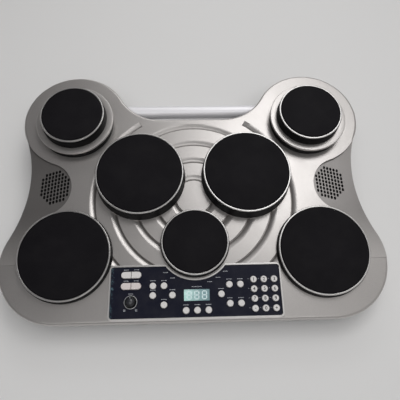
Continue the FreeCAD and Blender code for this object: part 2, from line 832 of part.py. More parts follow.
# Keys: round caps with a flange under the fascia and a stem over the switch.
flange_top = "(Sizes.stem_length + Sizes.flange_thick)"
cap_top = "(%s + Sizes.clearance + Sizes.fascia_thick + Sizes.fascia_drop + Sizes.key_top)" % flange_top
key_flange = "(Sizes.key_radius + Sizes.flange_width)"
left_outer = at.left_outer_share * at.panel_half
left_middle = at.left_middle_share * at.panel_half
left_inner = at.left_inner_share * at.panel_half
right_inner = at.right_inner_share * at.panel_half
right_middle = at.right_middle_share * at.panel_half
right_outer = at.right_outer_share * at.panel_half
base_pitch = at.base_pitch_share * at.panel_half
side_x = at.side_x_share * at.panel_half
pad_x = at.pad_x_share * at.panel_half
pad_pitch = at.pad_pitch_share * at.panel_half
ROUND_KEYS = [
    ("mode_key_1", -left_outer, -at.upper_row_y),
    ("mode_key_2", -left_middle, -at.upper_row_y),
    ("mode_key_3", -left_outer, -at.middle_row_y),
    ("mode_key_4", -left_inner, -at.middle_row_y),
    ("mode_key_5", -left_middle, -at.lower_row_y),
    ("rhythm_key_1", at.base_x - base_pitch, -at.base_row_y),
    ("rhythm_key_2", at.base_x, -at.base_row_y),
    ("rhythm_key_3", at.base_x + base_pitch, -at.base_row_y),
    ("sound_key_1", right_inner, -at.middle_row_y),
    ("sound_key_2", right_middle, -at.upper_row_y),
    ("sound_key_3", right_outer, -at.upper_row_y),
    ("sound_key_4", right_middle, -at.lower_row_y),
    ("sound_key_5", right_outer, -at.lower_row_y),
]
KEYPAD = (("1", "2", "3"), ("4", "5", "6"), ("7", "8", "9"), ("minus", "0", "plus"))
for r, words in enumerate(KEYPAD):
    for c, word in enumerate(words):
        x = pad_x + (c - (len(words) - 1) / 2) * pad_pitch
        y = -at.pad_y - (r - (len(KEYPAD) - 1) / 2) * at.pad_pitch_y
        ROUND_KEYS.append(("keypad_" + word, x, y))
key_holes = []
switches = []
for name, x, y in ROUND_KEYS:
    place = deck.multiply(spot(x, y, stem_low))
    profile = [
        ("0", "0"),
        ("Sizes.stem_radius", "0"),
        ("Sizes.stem_radius", "Sizes.stem_length"),
        (key_flange, "Sizes.stem_length"),
        (key_flange, flange_top),
        ("Sizes.key_radius", flange_top),
        ("Sizes.key_radius", cap_top),
        ("0", cap_top),
    ]
    node(name, turned(name, place, profile, [("Sizes.key_radius", cap_top, "Sizes.key_round")]))
    key_holes.append(cylinder(name + "_hole", spot(x, y, below), "Sizes.key_radius + Sizes.key_gap",
                              "2 * Sizes.overrun"))
    switches.append((name, x, y))

# Half-pill keys: two pairs at the left, rounded at their outer end and straight at the split.
def half_pill(grow, side, z):
    end = Vector(side * (at.pill_half - at.pill_height), 0, z)
    radius = at.pill_height + grow
    split = side * at.pill_split / 2
    start = -math.pi / 2 if side > 0 else math.pi / 2
    return [
        arc(end, radius, start, start + math.pi),
        Part.LineSegment(Vector(split, radius, z), Vector(end.x, radius, z)),
        Part.LineSegment(Vector(split, -radius, z), Vector(end.x, -radius, z)),
        Part.LineSegment(Vector(split, radius, z), Vector(split, -radius, z)),
    ]


PILLS = (
    ("level_key_down", -1, at.level_row_y),
    ("level_key_up", 1, at.level_row_y),
    ("tempo_key_down", -1, at.tempo_row_y),
    ("tempo_key_up", 1, at.tempo_row_y),
)
for name, side, row in PILLS:
    middle = side * at.pill_half / 2
    stem = cylinder(name + "_stem", spot(middle, 0), "Sizes.stem_radius", "Sizes.stem_length")
    flange = extrude(name + "_flange", half_pill(at.flange_width, side, 0), "Sizes.flange_thick",
                     spot(0, 0, at.stem_length))
    cap = extrude(name + "_cap", half_pill(0, side, 0), cap_top + " - " + flange_top,
                  spot(0, 0, value_of(flange_top)))
    whole = fuse(name + "_whole", [stem, flange, cap])
    doc.recompute()
    soft = doc.addObject("Part::Fillet", name)
    soft.Base = whole
    edges = []
    for i, edge in enumerate(whole.Shape.Edges):
        if min(v.Z for v in edge.Vertexes) > value_of(cap_top) - at.clearance:
            edges.append((i + 1, at.key_round, at.key_round))
    soft.Edges = edges
    soft.Placement = deck.multiply(spot(-side_x, -row, stem_low))
    node(name, soft)
    switches.append((name, -side_x + middle, -row))
for i, row in enumerate((at.level_row_y, at.tempo_row_y)):
    ends = [Vector(side * (at.pill_half - at.pill_height), 0, 0) for side in (-1, 1)]
    radius = at.pill_height + at.key_gap
    lift = Vector(0, radius, 0)
    shape = [
        arc(ends[1], radius, -math.pi / 2, math.pi / 2),
        arc(ends[0], radius, math.pi / 2, 3 * math.pi / 2),
        Part.LineSegment(ends[0] + lift, ends[1] + lift),
        Part.LineSegment(ends[0] - lift, ends[1] - lift),
    ]
    key_holes.append(extrude("pill_hole_%d" % i, shape, "2 * Sizes.overrun", spot(-side_x, -row, below)))

# Control fascia: the dark plate with a hole for each key, the knob well and the display.
blank = extrude("fascia_blank", panel_outline(0), "Sizes.fascia_thick", spot(0, 0, fascia_low))
knob_hole = cylinder("knob_hole", spot(-side_x, -at.knob_y, below), "Sizes.well_radius", "2 * Sizes.overrun")
display_left = at.display_x - at.display_half
display_front = -at.display_y - at.display_tall
display_hole = box(
    "display_hole", spot(display_left, display_front, below),
    "2 * Sizes.display_half", "2 * Sizes.display_tall", "2 * Sizes.overrun")
fascia = cut("control_fascia", blank, key_holes + [knob_hole, display_hole])
fascia.Placement = deck
node("control_fascia", fascia)

# Display: a clear window in the fascia over the lit module on the board.
window_place = spot(display_left + at.window_gap, display_front + at.window_gap, fascia_low)
window = box(
    "display_window", deck.multiply(window_place),
    "2 * Sizes.display_half - 2 * Sizes.window_gap", "2 * Sizes.display_tall - 2 * Sizes.window_gap",
    "Sizes.window_thick")
node("display_window", window)
module_place = spot(display_left - at.module_margin, display_front - at.module_margin, board_top)
module = box(
    "display_module", deck.multiply(module_place),
    "2 * Sizes.display_half + 2 * Sizes.module_margin", "2 * Sizes.display_tall + 2 * Sizes.module_margin",
    "%s - %s" % (board_depth, fascia_depth))
node("display_module", module)

# Volume knob: a tapered cap with its own shaft, turning in the bore of the control under it.
pot_top = board_top + at.pot_height
shaft_low = pot_top - at.shaft_depth
knob_place = deck.multiply(spot(-side_x, -at.knob_y, shaft_low))
knob_rise = "(%s - Sizes.fascia_drop - Sizes.knob_drop - Sizes.pot_height + Sizes.shaft_depth)" % board_depth
knob_high = "(%s + Sizes.knob_drop + Sizes.knob_top)" % knob_rise
knob_tip = "(Sizes.knob_radius - Sizes.knob_taper)"
profile = [
    ("0", "0"),
    ("Sizes.shaft_radius", "0"),
    ("Sizes.shaft_radius", knob_rise),
    ("Sizes.knob_radius", knob_rise),
    (knob_tip, knob_high),
    ("0", knob_high),
]
knob = turned("volume_knob", knob_place, profile, [(knob_tip, knob_high, "Sizes.knob_round")])
node("volume_knob", knob)
profile = [
    ("0", "0"),
    ("Sizes.pot_radius", "0"),
    ("Sizes.pot_radius", "Sizes.pot_height"),
    ("Sizes.shaft_radius + Sizes.shaft_play", "Sizes.pot_height"),
    ("Sizes.shaft_radius + Sizes.shaft_play", "Sizes.pot_height - Sizes.shaft_depth - Sizes.clearance"),
    ("0", "Sizes.pot_height - Sizes.shaft_depth - Sizes.clearance"),
]
pot = turned("volume_control", deck.multiply(spot(-side_x, -at.knob_y, board_top)), profile)
node("volume_control", pot)

# Control board: the board and the key switches soldered on it.
board = box("board_blank", spot(-board_half, -at.board_front_y, board_top - at.board_thick),
            "2 * (Sizes.panel_half + Sizes.board_margin)", "Sizes.board_front_y - Sizes.board_rear_y",
            "Sizes.board_thick")
board_parts = [board]
for name, x, y in switches:
    half = at.switch_side / 2
    board_parts.append(box(name + "_switch", spot(x - half, y - half, board_top - at.board_thick / 2),
                           "Sizes.switch_side", "Sizes.switch_side",
                           "Sizes.switch_height + Sizes.board_thick / 2"))
    board_parts.append(cylinder(name + "_plunger", spot(x, y, board_top), "Sizes.plunger_radius",
                                "Sizes.switch_height + Sizes.plunger_height"))
control_board = fuse("control_board", board_parts)
control_board.Placement = deck
node("control_board", control_board)

# Bottom housing: a wedge tray under the deck, level underneath, with bay, wells and sockets.
tray_top = -at.skirt
floor_top = at.foot_proud + at.tray_floor
ground = Vector(-recess_out, -recess_out, 0)


# Level block from the given height up, large enough to cover the whole body.
def level_block(name, height):
    place = Placement(ground + Vector(0, 0, height), Rotation())
    side = "2 * (Sizes.corner_x + Sizes.corner_radius + Sizes.overrun)"
    return box(name, place, side, side, "2 * Sizes.tray_deep")


down = Placement(Vector(0, 0, tray_top - at.tray_deep), Rotation())
tray_outer = extrude("tray_outer", body_outline(at.tray_inset), "Sizes.tray_deep", deck.multiply(down))
tray_inner = extrude("tray_inner", body_outline(at.tray_inset + at.wall), "Sizes.tray_deep + Sizes.overrun",
                     deck.multiply(down))
tray_body = common("tray_body", [tray_outer, level_block("tray_level", at.foot_proud)])
tray_cavity = common("tray_cavity", [tray_inner, level_block("tray_floor_level", floor_top)])
tray_shell = cut("tray_shell", tray_body, [tray_cavity])
# battery bay walls
bay_height = "(Sizes.door_thick + 2 * Sizes.clearance + 2 * Sizes.cell_radius + Sizes.cell_gap)"
bay_front = at.bay_y - at.bay_wide - at.deck_back_y
bay_low = Vector(-at.bay_half - at.bay_wall, bay_front - at.bay_wall, at.foot_proud)
bay_outer = box("bay_outer", Placement(bay_low, Rotation()), "2 * (Sizes.bay_half + Sizes.bay_wall)",
                "2 * (Sizes.bay_wide + Sizes.bay_wall)", bay_height + " + Sizes.bay_wall")
bay_inner = box("bay_inner", spot(-at.bay_half, bay_front), "2 * Sizes.bay_half", "2 * Sizes.bay_wide",
                "Sizes.foot_proud + " + bay_height)
# door track: dovetail sides keep the door from dropping, with room to slide to the rear
door_half = at.bay_half + at.door_margin
door_front = bay_front - at.door_margin


def dovetail(name, grow, front, length, low, high):
    lower = door_half - at.door_bevel + grow
    upper = door_half + grow
    points = [
        Vector(-lower, low, 0),
        Vector(lower, low, 0),
        Vector(upper, high, 0),
        Vector(-upper, high, 0),
    ]
    edges = []
    for a, b in zip(points, points[1:] + points[:1]):
        edges.append(Part.LineSegment(a, b))
    place = Placement(Vector(0, front + value_of(length), 0), Rotation(X_AXIS, 90))
    return extrude(name, edges, length, place)


door_length = "2 * (Sizes.bay_wide + Sizes.door_margin)"
track = dovetail("door_track", at.clearance, door_front - at.clearance,
                 door_length + " + Sizes.door_travel + 2 * Sizes.clearance",
                 at.foot_proud, at.foot_proud + at.door_thick + at.clearance)
door_blank = dovetail("door_blank", 0, door_front, door_length, at.foot_proud, at.foot_proud + at.door_thick)
catch = box("door_catch", spot(-at.catch_half, bay_front, at.foot_proud - at.overrun),
            "2 * Sizes.catch_half", "Sizes.catch_wide", "Sizes.overrun + Sizes.catch_deep")
node("battery_door", cut("battery_door", door_blank, [catch]))
cells = []
cell_low = at.foot_proud + at.door_thick + at.clearance
for r in (-1, 1):
    for c in (-1, 0, 1):
        x = c * (at.cell_length + at.cell_gap) - at.cell_length / 2
        y = at.bay_y - at.deck_back_y + r * (at.cell_radius + at.cell_gap / 2)
        place = Placement(Vector(x, y, cell_low + at.cell_radius), Rotation(Y_AXIS, 90))
        cells.append(cylinder("cell_%d_%d" % (r, c), place, "Sizes.cell_radius", "Sizes.cell_length"))
node("batteries", group("batteries", cells))

# Screw wells rise from the tray floor to the bosses of the deck.
wells = []
well_bores = []
screws = []
for i, (x, y) in enumerate(SCREWS):
    low = -at.screw_split - at.tray_deep
    well = cylinder("well_%d" % i, deck.multiply(spot(x, y, low)), "Sizes.well_outer", "Sizes.tray_deep")
    wells.append(common("well_body_%d" % i, [well, level_block("well_level_%d" % i, at.foot_proud)]))
    well_bores.append(cylinder("well_bore_%d" % i, deck.multiply(spot(x, y, low)), "Sizes.well_bore",
                               "Sizes.tray_deep - Sizes.well_web"))
    well_bores.append(cylinder("well_pass_%d" % i, deck.multiply(spot(x, y, low)),
                               "Sizes.screw_radius + Sizes.screw_play", "Sizes.tray_deep + Sizes.overrun"))
    head_low = -at.screw_split - at.well_web - at.head_height
    profile = [
        ("0", "0"),
        ("Sizes.head_radius", "0"),
        ("Sizes.head_radius", "Sizes.head_height"),
        ("Sizes.screw_radius", "Sizes.head_height"),
        ("Sizes.screw_radius", "Sizes.head_height + Sizes.well_web + Sizes.screw_bite"),
        ("0", "Sizes.head_height + Sizes.well_web + Sizes.screw_bite"),
    ]
    screws.append(turned("screw_%d" % i, deck.multiply(spot(x, y, head_low)), profile))
node("housing_screws", group("housing_screws", screws))

# Rear jacks and the power inlet: flanged barrels through the tray's rear wall.
rear_face = at.rear_edge_y - at.tray_inset
jack_holes = []
jacks = []
JACK_SHARES = (-1.5, -0.5, 0.5, 1.5)
for i, step in enumerate(JACK_SHARES):
    mouth = Placement(Vector(step * at.jack_pitch, rear_face + at.jack_proud, -at.jack_drop),
                      Rotation(X_AXIS, 90))
    place = deck.multiply(mouth)
    jack_holes.append(cylinder("jack_hole_%d" % i, place, "Sizes.jack_barrel + Sizes.clearance",
                               "Sizes.jack_proud + Sizes.wall + Sizes.overrun"))
    bore = "Sizes.inlet_bore" if i == 3 else "Sizes.jack_bore"
    deep = "(Sizes.jack_proud + Sizes.wall + Sizes.jack_depth)"
    profile = [
        ("0", deep),
        ("0", deep + " - Sizes.jack_floor"),
        (bore, deep + " - Sizes.jack_floor"),
        (bore, "0"),
        ("Sizes.jack_flange", "0"),
        ("Sizes.jack_flange", "Sizes.jack_proud"),
        ("Sizes.jack_barrel", "Sizes.jack_proud"),
        ("Sizes.jack_barrel", "Sizes.jack_proud + Sizes.wall"),
        ("Sizes.jack_body", "Sizes.jack_proud + Sizes.wall"),
        ("Sizes.jack_body", deep),
    ]
    if i == 3:
        profile[1] = ("0", deep + " - Sizes.jack_floor - Sizes.pin_length")
        profile.insert(2, ("Sizes.pin_radius", deep + " - Sizes.jack_floor - Sizes.pin_length"))
        profile.insert(3, ("Sizes.pin_radius", deep + " - Sizes.jack_floor"))
    jacks.append(turned("jack_%d" % i, place, profile))
node("rear_jacks", group("rear_jacks", jacks[:3]))
node("power_inlet", jacks[3])

# Carry handle: a straight tube across the rear valley, its ends let into sockets in the two lobes.
handle_z = -at.handle_drop
lobe_across = math.sqrt((at.lobe_radius - at.tray_inset) ** 2
                        - (at.handle_y + at.handle_radius - at.lobe_y) ** 2)
handle_end = at.lobe_x - lobe_across + at.handle_seat
lobe_face = ("(Sizes.lobe_x - sqrt((Sizes.lobe_radius - Sizes.tray_inset) ^ 2"
             " - (Sizes.handle_y + Sizes.handle_radius - Sizes.lobe_y) ^ 2))")
handle_length = "2 * (%s + Sizes.handle_seat)" % lobe_face
bar = Placement(Vector(-handle_end, at.handle_y, handle_z), Rotation(Y_AXIS, 90))
handle = cut("carry_handle", cylinder("handle_outer", bar, "Sizes.handle_radius", handle_length),
             [cylinder("handle_inner", bar, "Sizes.handle_radius - Sizes.handle_wall", handle_length)])
handle.Placement = deck
node("carry_handle", handle)
sockets = []
socket_bores = []
for side, word in ((-1, "left"), (1, "right")):
    inward = Rotation(Y_AXIS, -side * 90)
    start = Vector(side * (handle_end + at.socket_wall), at.handle_y, handle_z)
    whole = cylinder(word + "_socket", deck.multiply(Placement(start, inward)),
                     "Sizes.handle_radius + Sizes.socket_wall", lobe_face)
    sockets.append(common(word + "_socket_body", [whole, tray_outer]))
    start = Vector(side * handle_end, at.handle_y, handle_z)
    socket_bores.append(cylinder(word + "_socket_bore", deck.multiply(Placement(start, inward)),
                                 "Sizes.handle_radius + Sizes.window_gap", lobe_face))

# Feet sit in shallow pockets in the tray floor.
feet = []
foot_pockets = []
for side in (-1, 1):
    for n, (x, y) in enumerate(((at.front_foot_x, -at.front_foot_y), (at.rear_foot_x, at.rear_foot_y))):
        name = "foot_%d_%d" % (side, n)
        profile = [
            ("0", "0"),
            ("Sizes.foot_radius", "0"),
            ("Sizes.foot_radius", "Sizes.foot_proud + Sizes.foot_inset"),
            ("0", "Sizes.foot_proud + Sizes.foot_inset"),
        ]
        foot = turned(name, spot(side * x, y), profile, [("Sizes.foot_radius", "0", "Sizes.foot_round")])
        feet.append(foot)
        foot_pockets.append(cylinder(name + "_pocket", spot(side * x, y),
                                     "Sizes.foot_radius + Sizes.window_gap",
                                     "Sizes.foot_proud + Sizes.foot_inset"))
node("rubber_feet", group("rubber_feet", feet))
tray_full = fuse("tray_full", [tray_shell, bay_outer] + wells + sockets)
bottom = cut("bottom_housing", tray_full,
             [bay_inner, track] + well_bores + jack_holes + socket_bores + foot_pockets)
node("bottom_housing", bottom)

doc.recompute()
faults = []
for obj in doc.Objects:
    if any(word in obj.State for word in ("Invalid", "Error")):
        faults.append("%s: %s" % (obj.Name, obj.State))
for name, obj in nodes.items():
    if obj.Shape.isNull() or not obj.Shape.isValid():
        faults.append("%s: shape not valid" % name)
if faults:
    raise RuntimeError("; ".join(faults))
os.makedirs("parts", exist_ok=True)
for name, obj in nodes.items():
    obj.Shape.exportStep("parts/%s.step" % name)
    print("%s solids %d volume %.0f" % (name, len(obj.Shape.Solids), obj.Shape.Volume))
whole = Part.makeCompound([obj.Shape for obj in nodes.values()]).BoundBox
print("nodes %d box %.2f %.2f %.2f to %.2f %.2f %.2f" % (
    len(nodes), whole.XMin, whole.YMin, whole.ZMin, whole.XMax, whole.YMax, whole.ZMax))
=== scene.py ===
import json
import math

import bmesh
import bpy
from mathutils import Matrix, Vector

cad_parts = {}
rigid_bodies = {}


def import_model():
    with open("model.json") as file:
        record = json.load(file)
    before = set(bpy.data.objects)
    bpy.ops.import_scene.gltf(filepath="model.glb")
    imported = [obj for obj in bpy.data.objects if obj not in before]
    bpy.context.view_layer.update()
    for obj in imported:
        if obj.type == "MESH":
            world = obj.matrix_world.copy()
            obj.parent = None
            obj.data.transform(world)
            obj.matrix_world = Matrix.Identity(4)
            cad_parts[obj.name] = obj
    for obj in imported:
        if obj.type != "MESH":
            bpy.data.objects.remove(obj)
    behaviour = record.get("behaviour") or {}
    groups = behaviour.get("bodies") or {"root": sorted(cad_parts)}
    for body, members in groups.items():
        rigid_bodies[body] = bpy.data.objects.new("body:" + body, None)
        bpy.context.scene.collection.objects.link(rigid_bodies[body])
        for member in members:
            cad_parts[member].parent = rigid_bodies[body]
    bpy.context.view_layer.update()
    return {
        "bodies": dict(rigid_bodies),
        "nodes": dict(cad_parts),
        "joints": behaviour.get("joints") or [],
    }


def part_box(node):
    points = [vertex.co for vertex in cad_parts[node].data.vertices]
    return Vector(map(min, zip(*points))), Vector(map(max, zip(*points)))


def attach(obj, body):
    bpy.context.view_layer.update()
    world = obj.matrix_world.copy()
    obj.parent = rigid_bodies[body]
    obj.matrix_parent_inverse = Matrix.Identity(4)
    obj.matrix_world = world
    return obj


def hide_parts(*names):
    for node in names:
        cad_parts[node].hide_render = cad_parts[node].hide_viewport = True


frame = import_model()
nodes = frame["nodes"]

# Top housing: the deck with its rolled edge, ring grooves and speaker recesses, moulded in one shell.
# It is sprayed warm silver with fine metal flake, under a thin satin lacquer that holds a little dust.


def add(tree, kind, sockets=None, **properties):
    """A node with its properties set, and each named socket given a value or linked to an output."""
    node = tree.nodes.new(kind)
    for name, value in properties.items():
        setattr(node, name, value)
    for name, value in (sockets or {}).items():
        if isinstance(value, bpy.types.NodeSocket):
            tree.links.new(value, node.inputs[name])
        else:
            node.inputs[name].default_value = value
    return node


def math_node(tree, operation, first, second=0.0, third=0.0):
    """The result of one sum on two or three values."""
    return add(tree, "ShaderNodeMath", {0: first, 1: second, 2: third}, operation=operation).outputs[0]


def blend_colours(tree, share, first, second):
    """The first colour turned into the second by that share."""
    sockets = {0: share, 6: first, 7: second}
    return add(tree, "ShaderNodeMix", sockets, data_type="RGBA").outputs[2]


def step_between(tree, value, low, high):
    """0 below low, 1 above high, and a smooth rise between them."""
    sockets = {"Value": value, "From Min": low, "From Max": high}
    return add(tree, "ShaderNodeMapRange", sockets, interpolation_type="SMOOTHSTEP").outputs["Result"]


def step_linear(tree, value, low, high):
    """0 below low, 1 above high, and a straight rise between them."""
    sockets = {"Value": value, "From Min": low, "From Max": high}
    return add(tree, "ShaderNodeMapRange", sockets).outputs["Result"]


def noise(tree, where, size, detail=2.0, roughness=0.5):
    """A cloudy value between 0 and 1 with patches of about that size in metres."""
    sockets = {"Vector": where, "Scale": 1 / size, "Detail": detail, "Roughness": roughness}
    return add(tree, "ShaderNodeTexNoise", sockets).outputs["Fac"]


def kit_place(tree):
    return add(tree, "ShaderNodeTexCoord").outputs["Object"]


def scaled(tree, value, times, plus):
    """The value times one number, plus another."""
    return math_node(tree, "MULTIPLY_ADD", value, times, plus)


def shader_group(name, inputs, outputs):
    """An empty shader group: its tree, the sockets that come in and the sockets that go out."""
    tree = bpy.data.node_groups.new(name, "ShaderNodeTree")
    for label, (kind, value) in inputs.items():
        socket = tree.interface.new_socket(label, in_out="INPUT", socket_type="NodeSocket" + kind)
        socket.default_value = value
    for label, kind in outputs.items():
        tree.interface.new_socket(label, in_out="OUTPUT", socket_type="NodeSocket" + kind)
    given = tree.nodes.new("NodeGroupInput").outputs
    result = tree.nodes.new("NodeGroupOutput").inputs
    return tree, given, result


def placed(tree, group, sockets):
    """That group placed in a material, with its own values."""
    return add(tree, "ShaderNodeGroup", sockets, node_tree=group)


def dusted(tree, shader, sockets):
    """Lays the dust film over a surface's colour and roughness."""
    film = placed(tree, dust_group, sockets)
    tree.links.new(film.outputs["Color"], shader.inputs["Base Color"])
    tree.links.new(film.outputs["Roughness"], shader.inputs["Roughness"])


def surface(name, **sockets):
    """A material of that name with plain values on its shader: the material, its tree and the shader."""
    material = bpy.data.materials.new(name)
    material.use_nodes = True
    tree = material.node_tree
    shader = tree.nodes["Principled BSDF"]
    for label, value in sockets.items():
        shader.inputs[label.replace("_", " ").title().replace("Ior", "IOR")].default_value = value
    return material, tree, shader


def across_deck(tree, vector):
    sockets = {0: vector, 1: deck_normal}
    return add(tree, "ShaderNodeVectorMath", sockets, operation="DOT_PRODUCT").outputs["Value"]


def bump(tree, shader, height, strength, distance):
    """Raises the surface by that height."""
    sockets = {"Height": height, "Strength": strength, "Distance": distance}
    node = add(tree, "ShaderNodeBump", sockets)
    tree.links.new(node.outputs["Normal"], shader.inputs["Normal"])


def dress(material, *names):
    """Gives these pieces of the construction that material."""
    for name in names:
        slots = nodes[name].data.materials
        slots.clear()
        slots.append(material)


# flakes of different brightness in the paint, each a small cell
flake_group, given, result = shader_group(
    "metal_flake",
    {"Color": ("Color", (0.6, 0.6, 0.6, 1)), "Flake Size": ("Float", 0.0005), "Spread": ("Float", 0.1)},
    {"Color": "Color"},
)
where = kit_place(flake_group)
fineness = math_node(flake_group, "DIVIDE", 1.0, given["Flake Size"])
cells = add(flake_group, "ShaderNodeTexVoronoi", {"Vector": where, "Scale": fineness})
lot = add(flake_group, "ShaderNodeSeparateColor", {"Color": cells.outputs["Color"]}).outputs["Red"]
off_middle = math_node(flake_group, "SUBTRACT", lot, 0.5)
lift = math_node(flake_group, "MULTIPLY_ADD", off_middle, given["Spread"], 1.0)
lit = add(flake_group, "ShaderNodeVectorMath", {0: given["Color"], "Scale": lift}, operation="SCALE")
flake_group.links.new(lit.outputs[0], result["Color"])

# dust that lies in patches on what faces up, and dulls the gloss there
dust_group, given, result = shader_group(
    "dust_film",
    {
        "Color": ("Color", (0.6, 0.6, 0.6, 1)),
        "Roughness": ("Float", 0.4),
        "Amount": ("Float", 0.1),
        "Patch Size": ("Float", 0.05),
    },
    {"Color": "Color", "Roughness": "Float"},
)
dust_colour = (0.40, 0.38, 0.36, 1)
dust_dulling = 0.4
where = kit_place(dust_group)
facing = add(dust_group, "ShaderNodeNewGeometry").outputs["Normal"]
upward = add(dust_group, "ShaderNodeSeparateXYZ", {0: facing}).outputs["Z"]
fineness = math_node(dust_group, "DIVIDE", 1.0, given["Patch Size"])
cloud = add(dust_group, "ShaderNodeTexNoise", {
    "Vector": where, "Scale": fineness, "Detail": 6.0, "Roughness": 0.65}).outputs["Fac"]
thick = step_between(dust_group, cloud, low=0.35, high=0.75)
settled = math_node(dust_group, "MULTIPLY", thick, given["Amount"])
lying = math_node(dust_group, "MULTIPLY", settled, step_between(dust_group, upward, low=0.2, high=0.95))
dust_group.links.new(blend_colours(dust_group, lying, given["Color"], dust_colour), result["Color"])
dulled = math_node(dust_group, "MULTIPLY_ADD", lying, dust_dulling, given["Roughness"])
dust_group.links.new(dulled, result["Roughness"])

# painted shade along the bottom of the ring grooves, found by its depth under the deck
deck_normal = -Vector(next(j["axis"] for j in frame["joints"] if j["child"] == "keypad_0"))
deck_origin = Vector((0.0, -0.02999, 0.065))
groove_depth = 0.0032
shade_top = 0.6 * groove_depth
shade_foot = 1.1 * groove_depth

warm_silver = (0.60, 0.575, 0.56, 1)
groove_shade = (0.13, 0.12, 0.115, 1)
lip_highlight = (0.82, 0.80, 0.785, 1)
silver_paint, tree, shader = surface("silver_paint", metallic=0.85, coat_weight=0.1, coat_roughness=0.3)
flakes = placed(tree, flake_group, {"Color": warm_silver, "Flake Size": 0.0004, "Spread": 0.12})
where = kit_place(tree)
depth = math_node(tree, "SUBTRACT", deck_origin.dot(deck_normal), across_deck(tree, where))
level = across_deck(tree, add(tree, "ShaderNodeNewGeometry").outputs["Normal"])
low_down = step_between(tree, depth, shade_top, groove_depth)
not_below = math_node(tree, "LESS_THAN", depth, shade_foot)
lies_flat = step_between(tree, level, low=0.80, high=0.88)
in_groove = math_node(tree, "MULTIPLY", math_node(tree, "MULTIPLY", low_down, not_below), lies_flat)
patchy = scaled(tree, noise(tree, where, size=0.008, detail=4.0), times=0.4, plus=0.6)
# painted shade: the groove bottoms are darkened in patches in the paint's colour
painted_groove_shade = math_node(tree, "MULTIPLY", in_groove, patchy)
darkened = blend_colours(tree, painted_groove_shade, flakes.outputs["Color"], groove_shade)
satin = scaled(tree, noise(tree, where, size=0.03, detail=4.0), times=0.06, plus=0.31)
# the lip round the panel, which stands a little over the deck, is painted paler as a painted highlight
lip_foot = 0.0003
lip_top = 0.0011
plate_level = 0.004
over_deck = step_between(tree, depth, -lip_foot, -lip_top)
below_plates = math_node(tree, "GREATER_THAN", depth, -plate_level)
on_lip = math_node(tree, "MULTIPLY", over_deck, below_plates)
# painted highlight: the lip is coloured paler than the deck
overlaid = blend_colours(tree, on_lip, darkened, lip_highlight)
dusted(tree, shader, {"Color": overlaid, "Roughness": satin, "Amount": 0.07})
# the outer side of each ring groove is moulded as a hollow curve, so it runs out softly into the deck
groove_middle = (0.0, -0.0224, 0.0)
groove_reach = 0.1655
groove_rear = 0.108
paint_grain = 0.000004
sunk = step_linear(tree, depth, 0.0, groove_depth)
left_over = math_node(tree, "SUBTRACT", 1.0, sunk)
hollow_rise = 0.75 * groove_depth
hollow = math_node(tree, "MULTIPLY", math_node(tree, "MULTIPLY", sunk, left_over), hollow_rise)
flat_where = add(tree, "ShaderNodeVectorMath", {0: where, 1: (1, 1, 0)}, operation="MULTIPLY").outputs[0]
from_middle = {0: flat_where, 1: groove_middle}
reach = add(tree, "ShaderNodeVectorMath", from_middle, operation="DISTANCE").outputs["Value"]
among_rings = math_node(tree, "LESS_THAN", reach, groove_reach)
depthways = add(tree, "ShaderNodeSeparateXYZ", {0: where}).outputs["Y"]
before_rear = math_node(tree, "LESS_THAN", depthways, groove_rear)
in_rings = math_node(tree, "MULTIPLY", math_node(tree, "MULTIPLY", among_rings, before_rear), lies_flat)
grain = math_node(tree, "MULTIPLY", noise(tree, where, size=0.0012, detail=2.0), paint_grain)
raised = math_node(tree, "MULTIPLY_ADD", hollow, in_rings, grain)
bump(tree, shader, raised, strength=1.0, distance=1.0)
dress(silver_paint, "top_housing")

# Speaker grilles: perforated plates let into the two side recesses, with a loudspeaker behind each.
# They are sprayed as the deck is and a little duller, with painted shade darkening them round the holes
# and painted black shade on the walls inside each hole.
grille_shade = (0.25, 0.238, 0.232, 1)
hole_shade = (0.006, 0.006, 0.006, 1)
grille_paint, tree, shader = surface("grille_paint", metallic=0.8)
where = kit_place(tree)
along = add(tree, "ShaderNodeSeparateXYZ", {0: where}).outputs
shade_front = -0.15
shade_rear = -0.04
# painted shade: the paint darkens from the front towards the holes
toward_holes = step_between(tree, along["Y"], shade_front, shade_rear)
shaded = blend_colours(tree, toward_holes, warm_silver, grille_shade)
flakes = placed(tree, flake_group, {"Color": shaded, "Flake Size": 0.0004, "Spread": 0.12})
satin = scaled(tree, noise(tree, where, size=0.02, detail=4.0), times=0.08, plus=0.33)
film = placed(tree, dust_group, {"Color": flakes.outputs["Color"], "Roughness": satin, "Amount": 0.06})
level = across_deck(tree, add(tree, "ShaderNodeNewGeometry").outputs["Normal"])
# painted shade: the steep walls inside the holes are coloured black
steep = step_between(tree, level, low=0.8, high=0.5)
outer_hole = 0.245
among_holes = math_node(tree, "LESS_THAN", math_node(tree, "ABSOLUTE", along["X"]), outer_hole)
inside = math_node(tree, "MULTIPLY", steep, among_holes)
holed = blend_colours(tree, inside, film.outputs["Color"], hole_shade)
tree.links.new(holed, shader.inputs["Base Color"])
tree.links.new(film.outputs["Roughness"], shader.inputs["Roughness"])
bump(tree, shader, noise(tree, where, size=0.0008, detail=2.0), strength=0.08, distance=0.0001)
dress(grille_paint, "left_speaker_grille", "right_speaker_grille")

# Loudspeakers: a dark paper cone in a pressed basket, screwed up under each grille.
# The paper is fibrous and dull, and shows only as darkness behind the holes.


def tinted(tree, shader, share, first, second):
    """Colours a surface between two colours by that share."""
    tree.links.new(blend_colours(tree, share, first, second), shader.inputs["Base Color"])


def mottled(tree, shader, first, second, **cloud):
    """Colours a surface in clouds between two colours, and gives the clouds."""
    share = noise(tree, kit_place(tree), **cloud)
    tinted(tree, shader, share, first, second)
    return share


cone_dark = (0.006, 0.006, 0.0065, 1)
cone_pale = (0.014, 0.0138, 0.0135, 1)
cone_paper, tree, shader = surface("cone_paper", roughness=0.85)
fibre = mottled(tree, shader, cone_dark, cone_pale, size=0.0015, detail=5.0, roughness=0.7)
bump(tree, shader, fibre, strength=0.4, distance=0.0002)
dress(cone_paper, "loudspeakers")

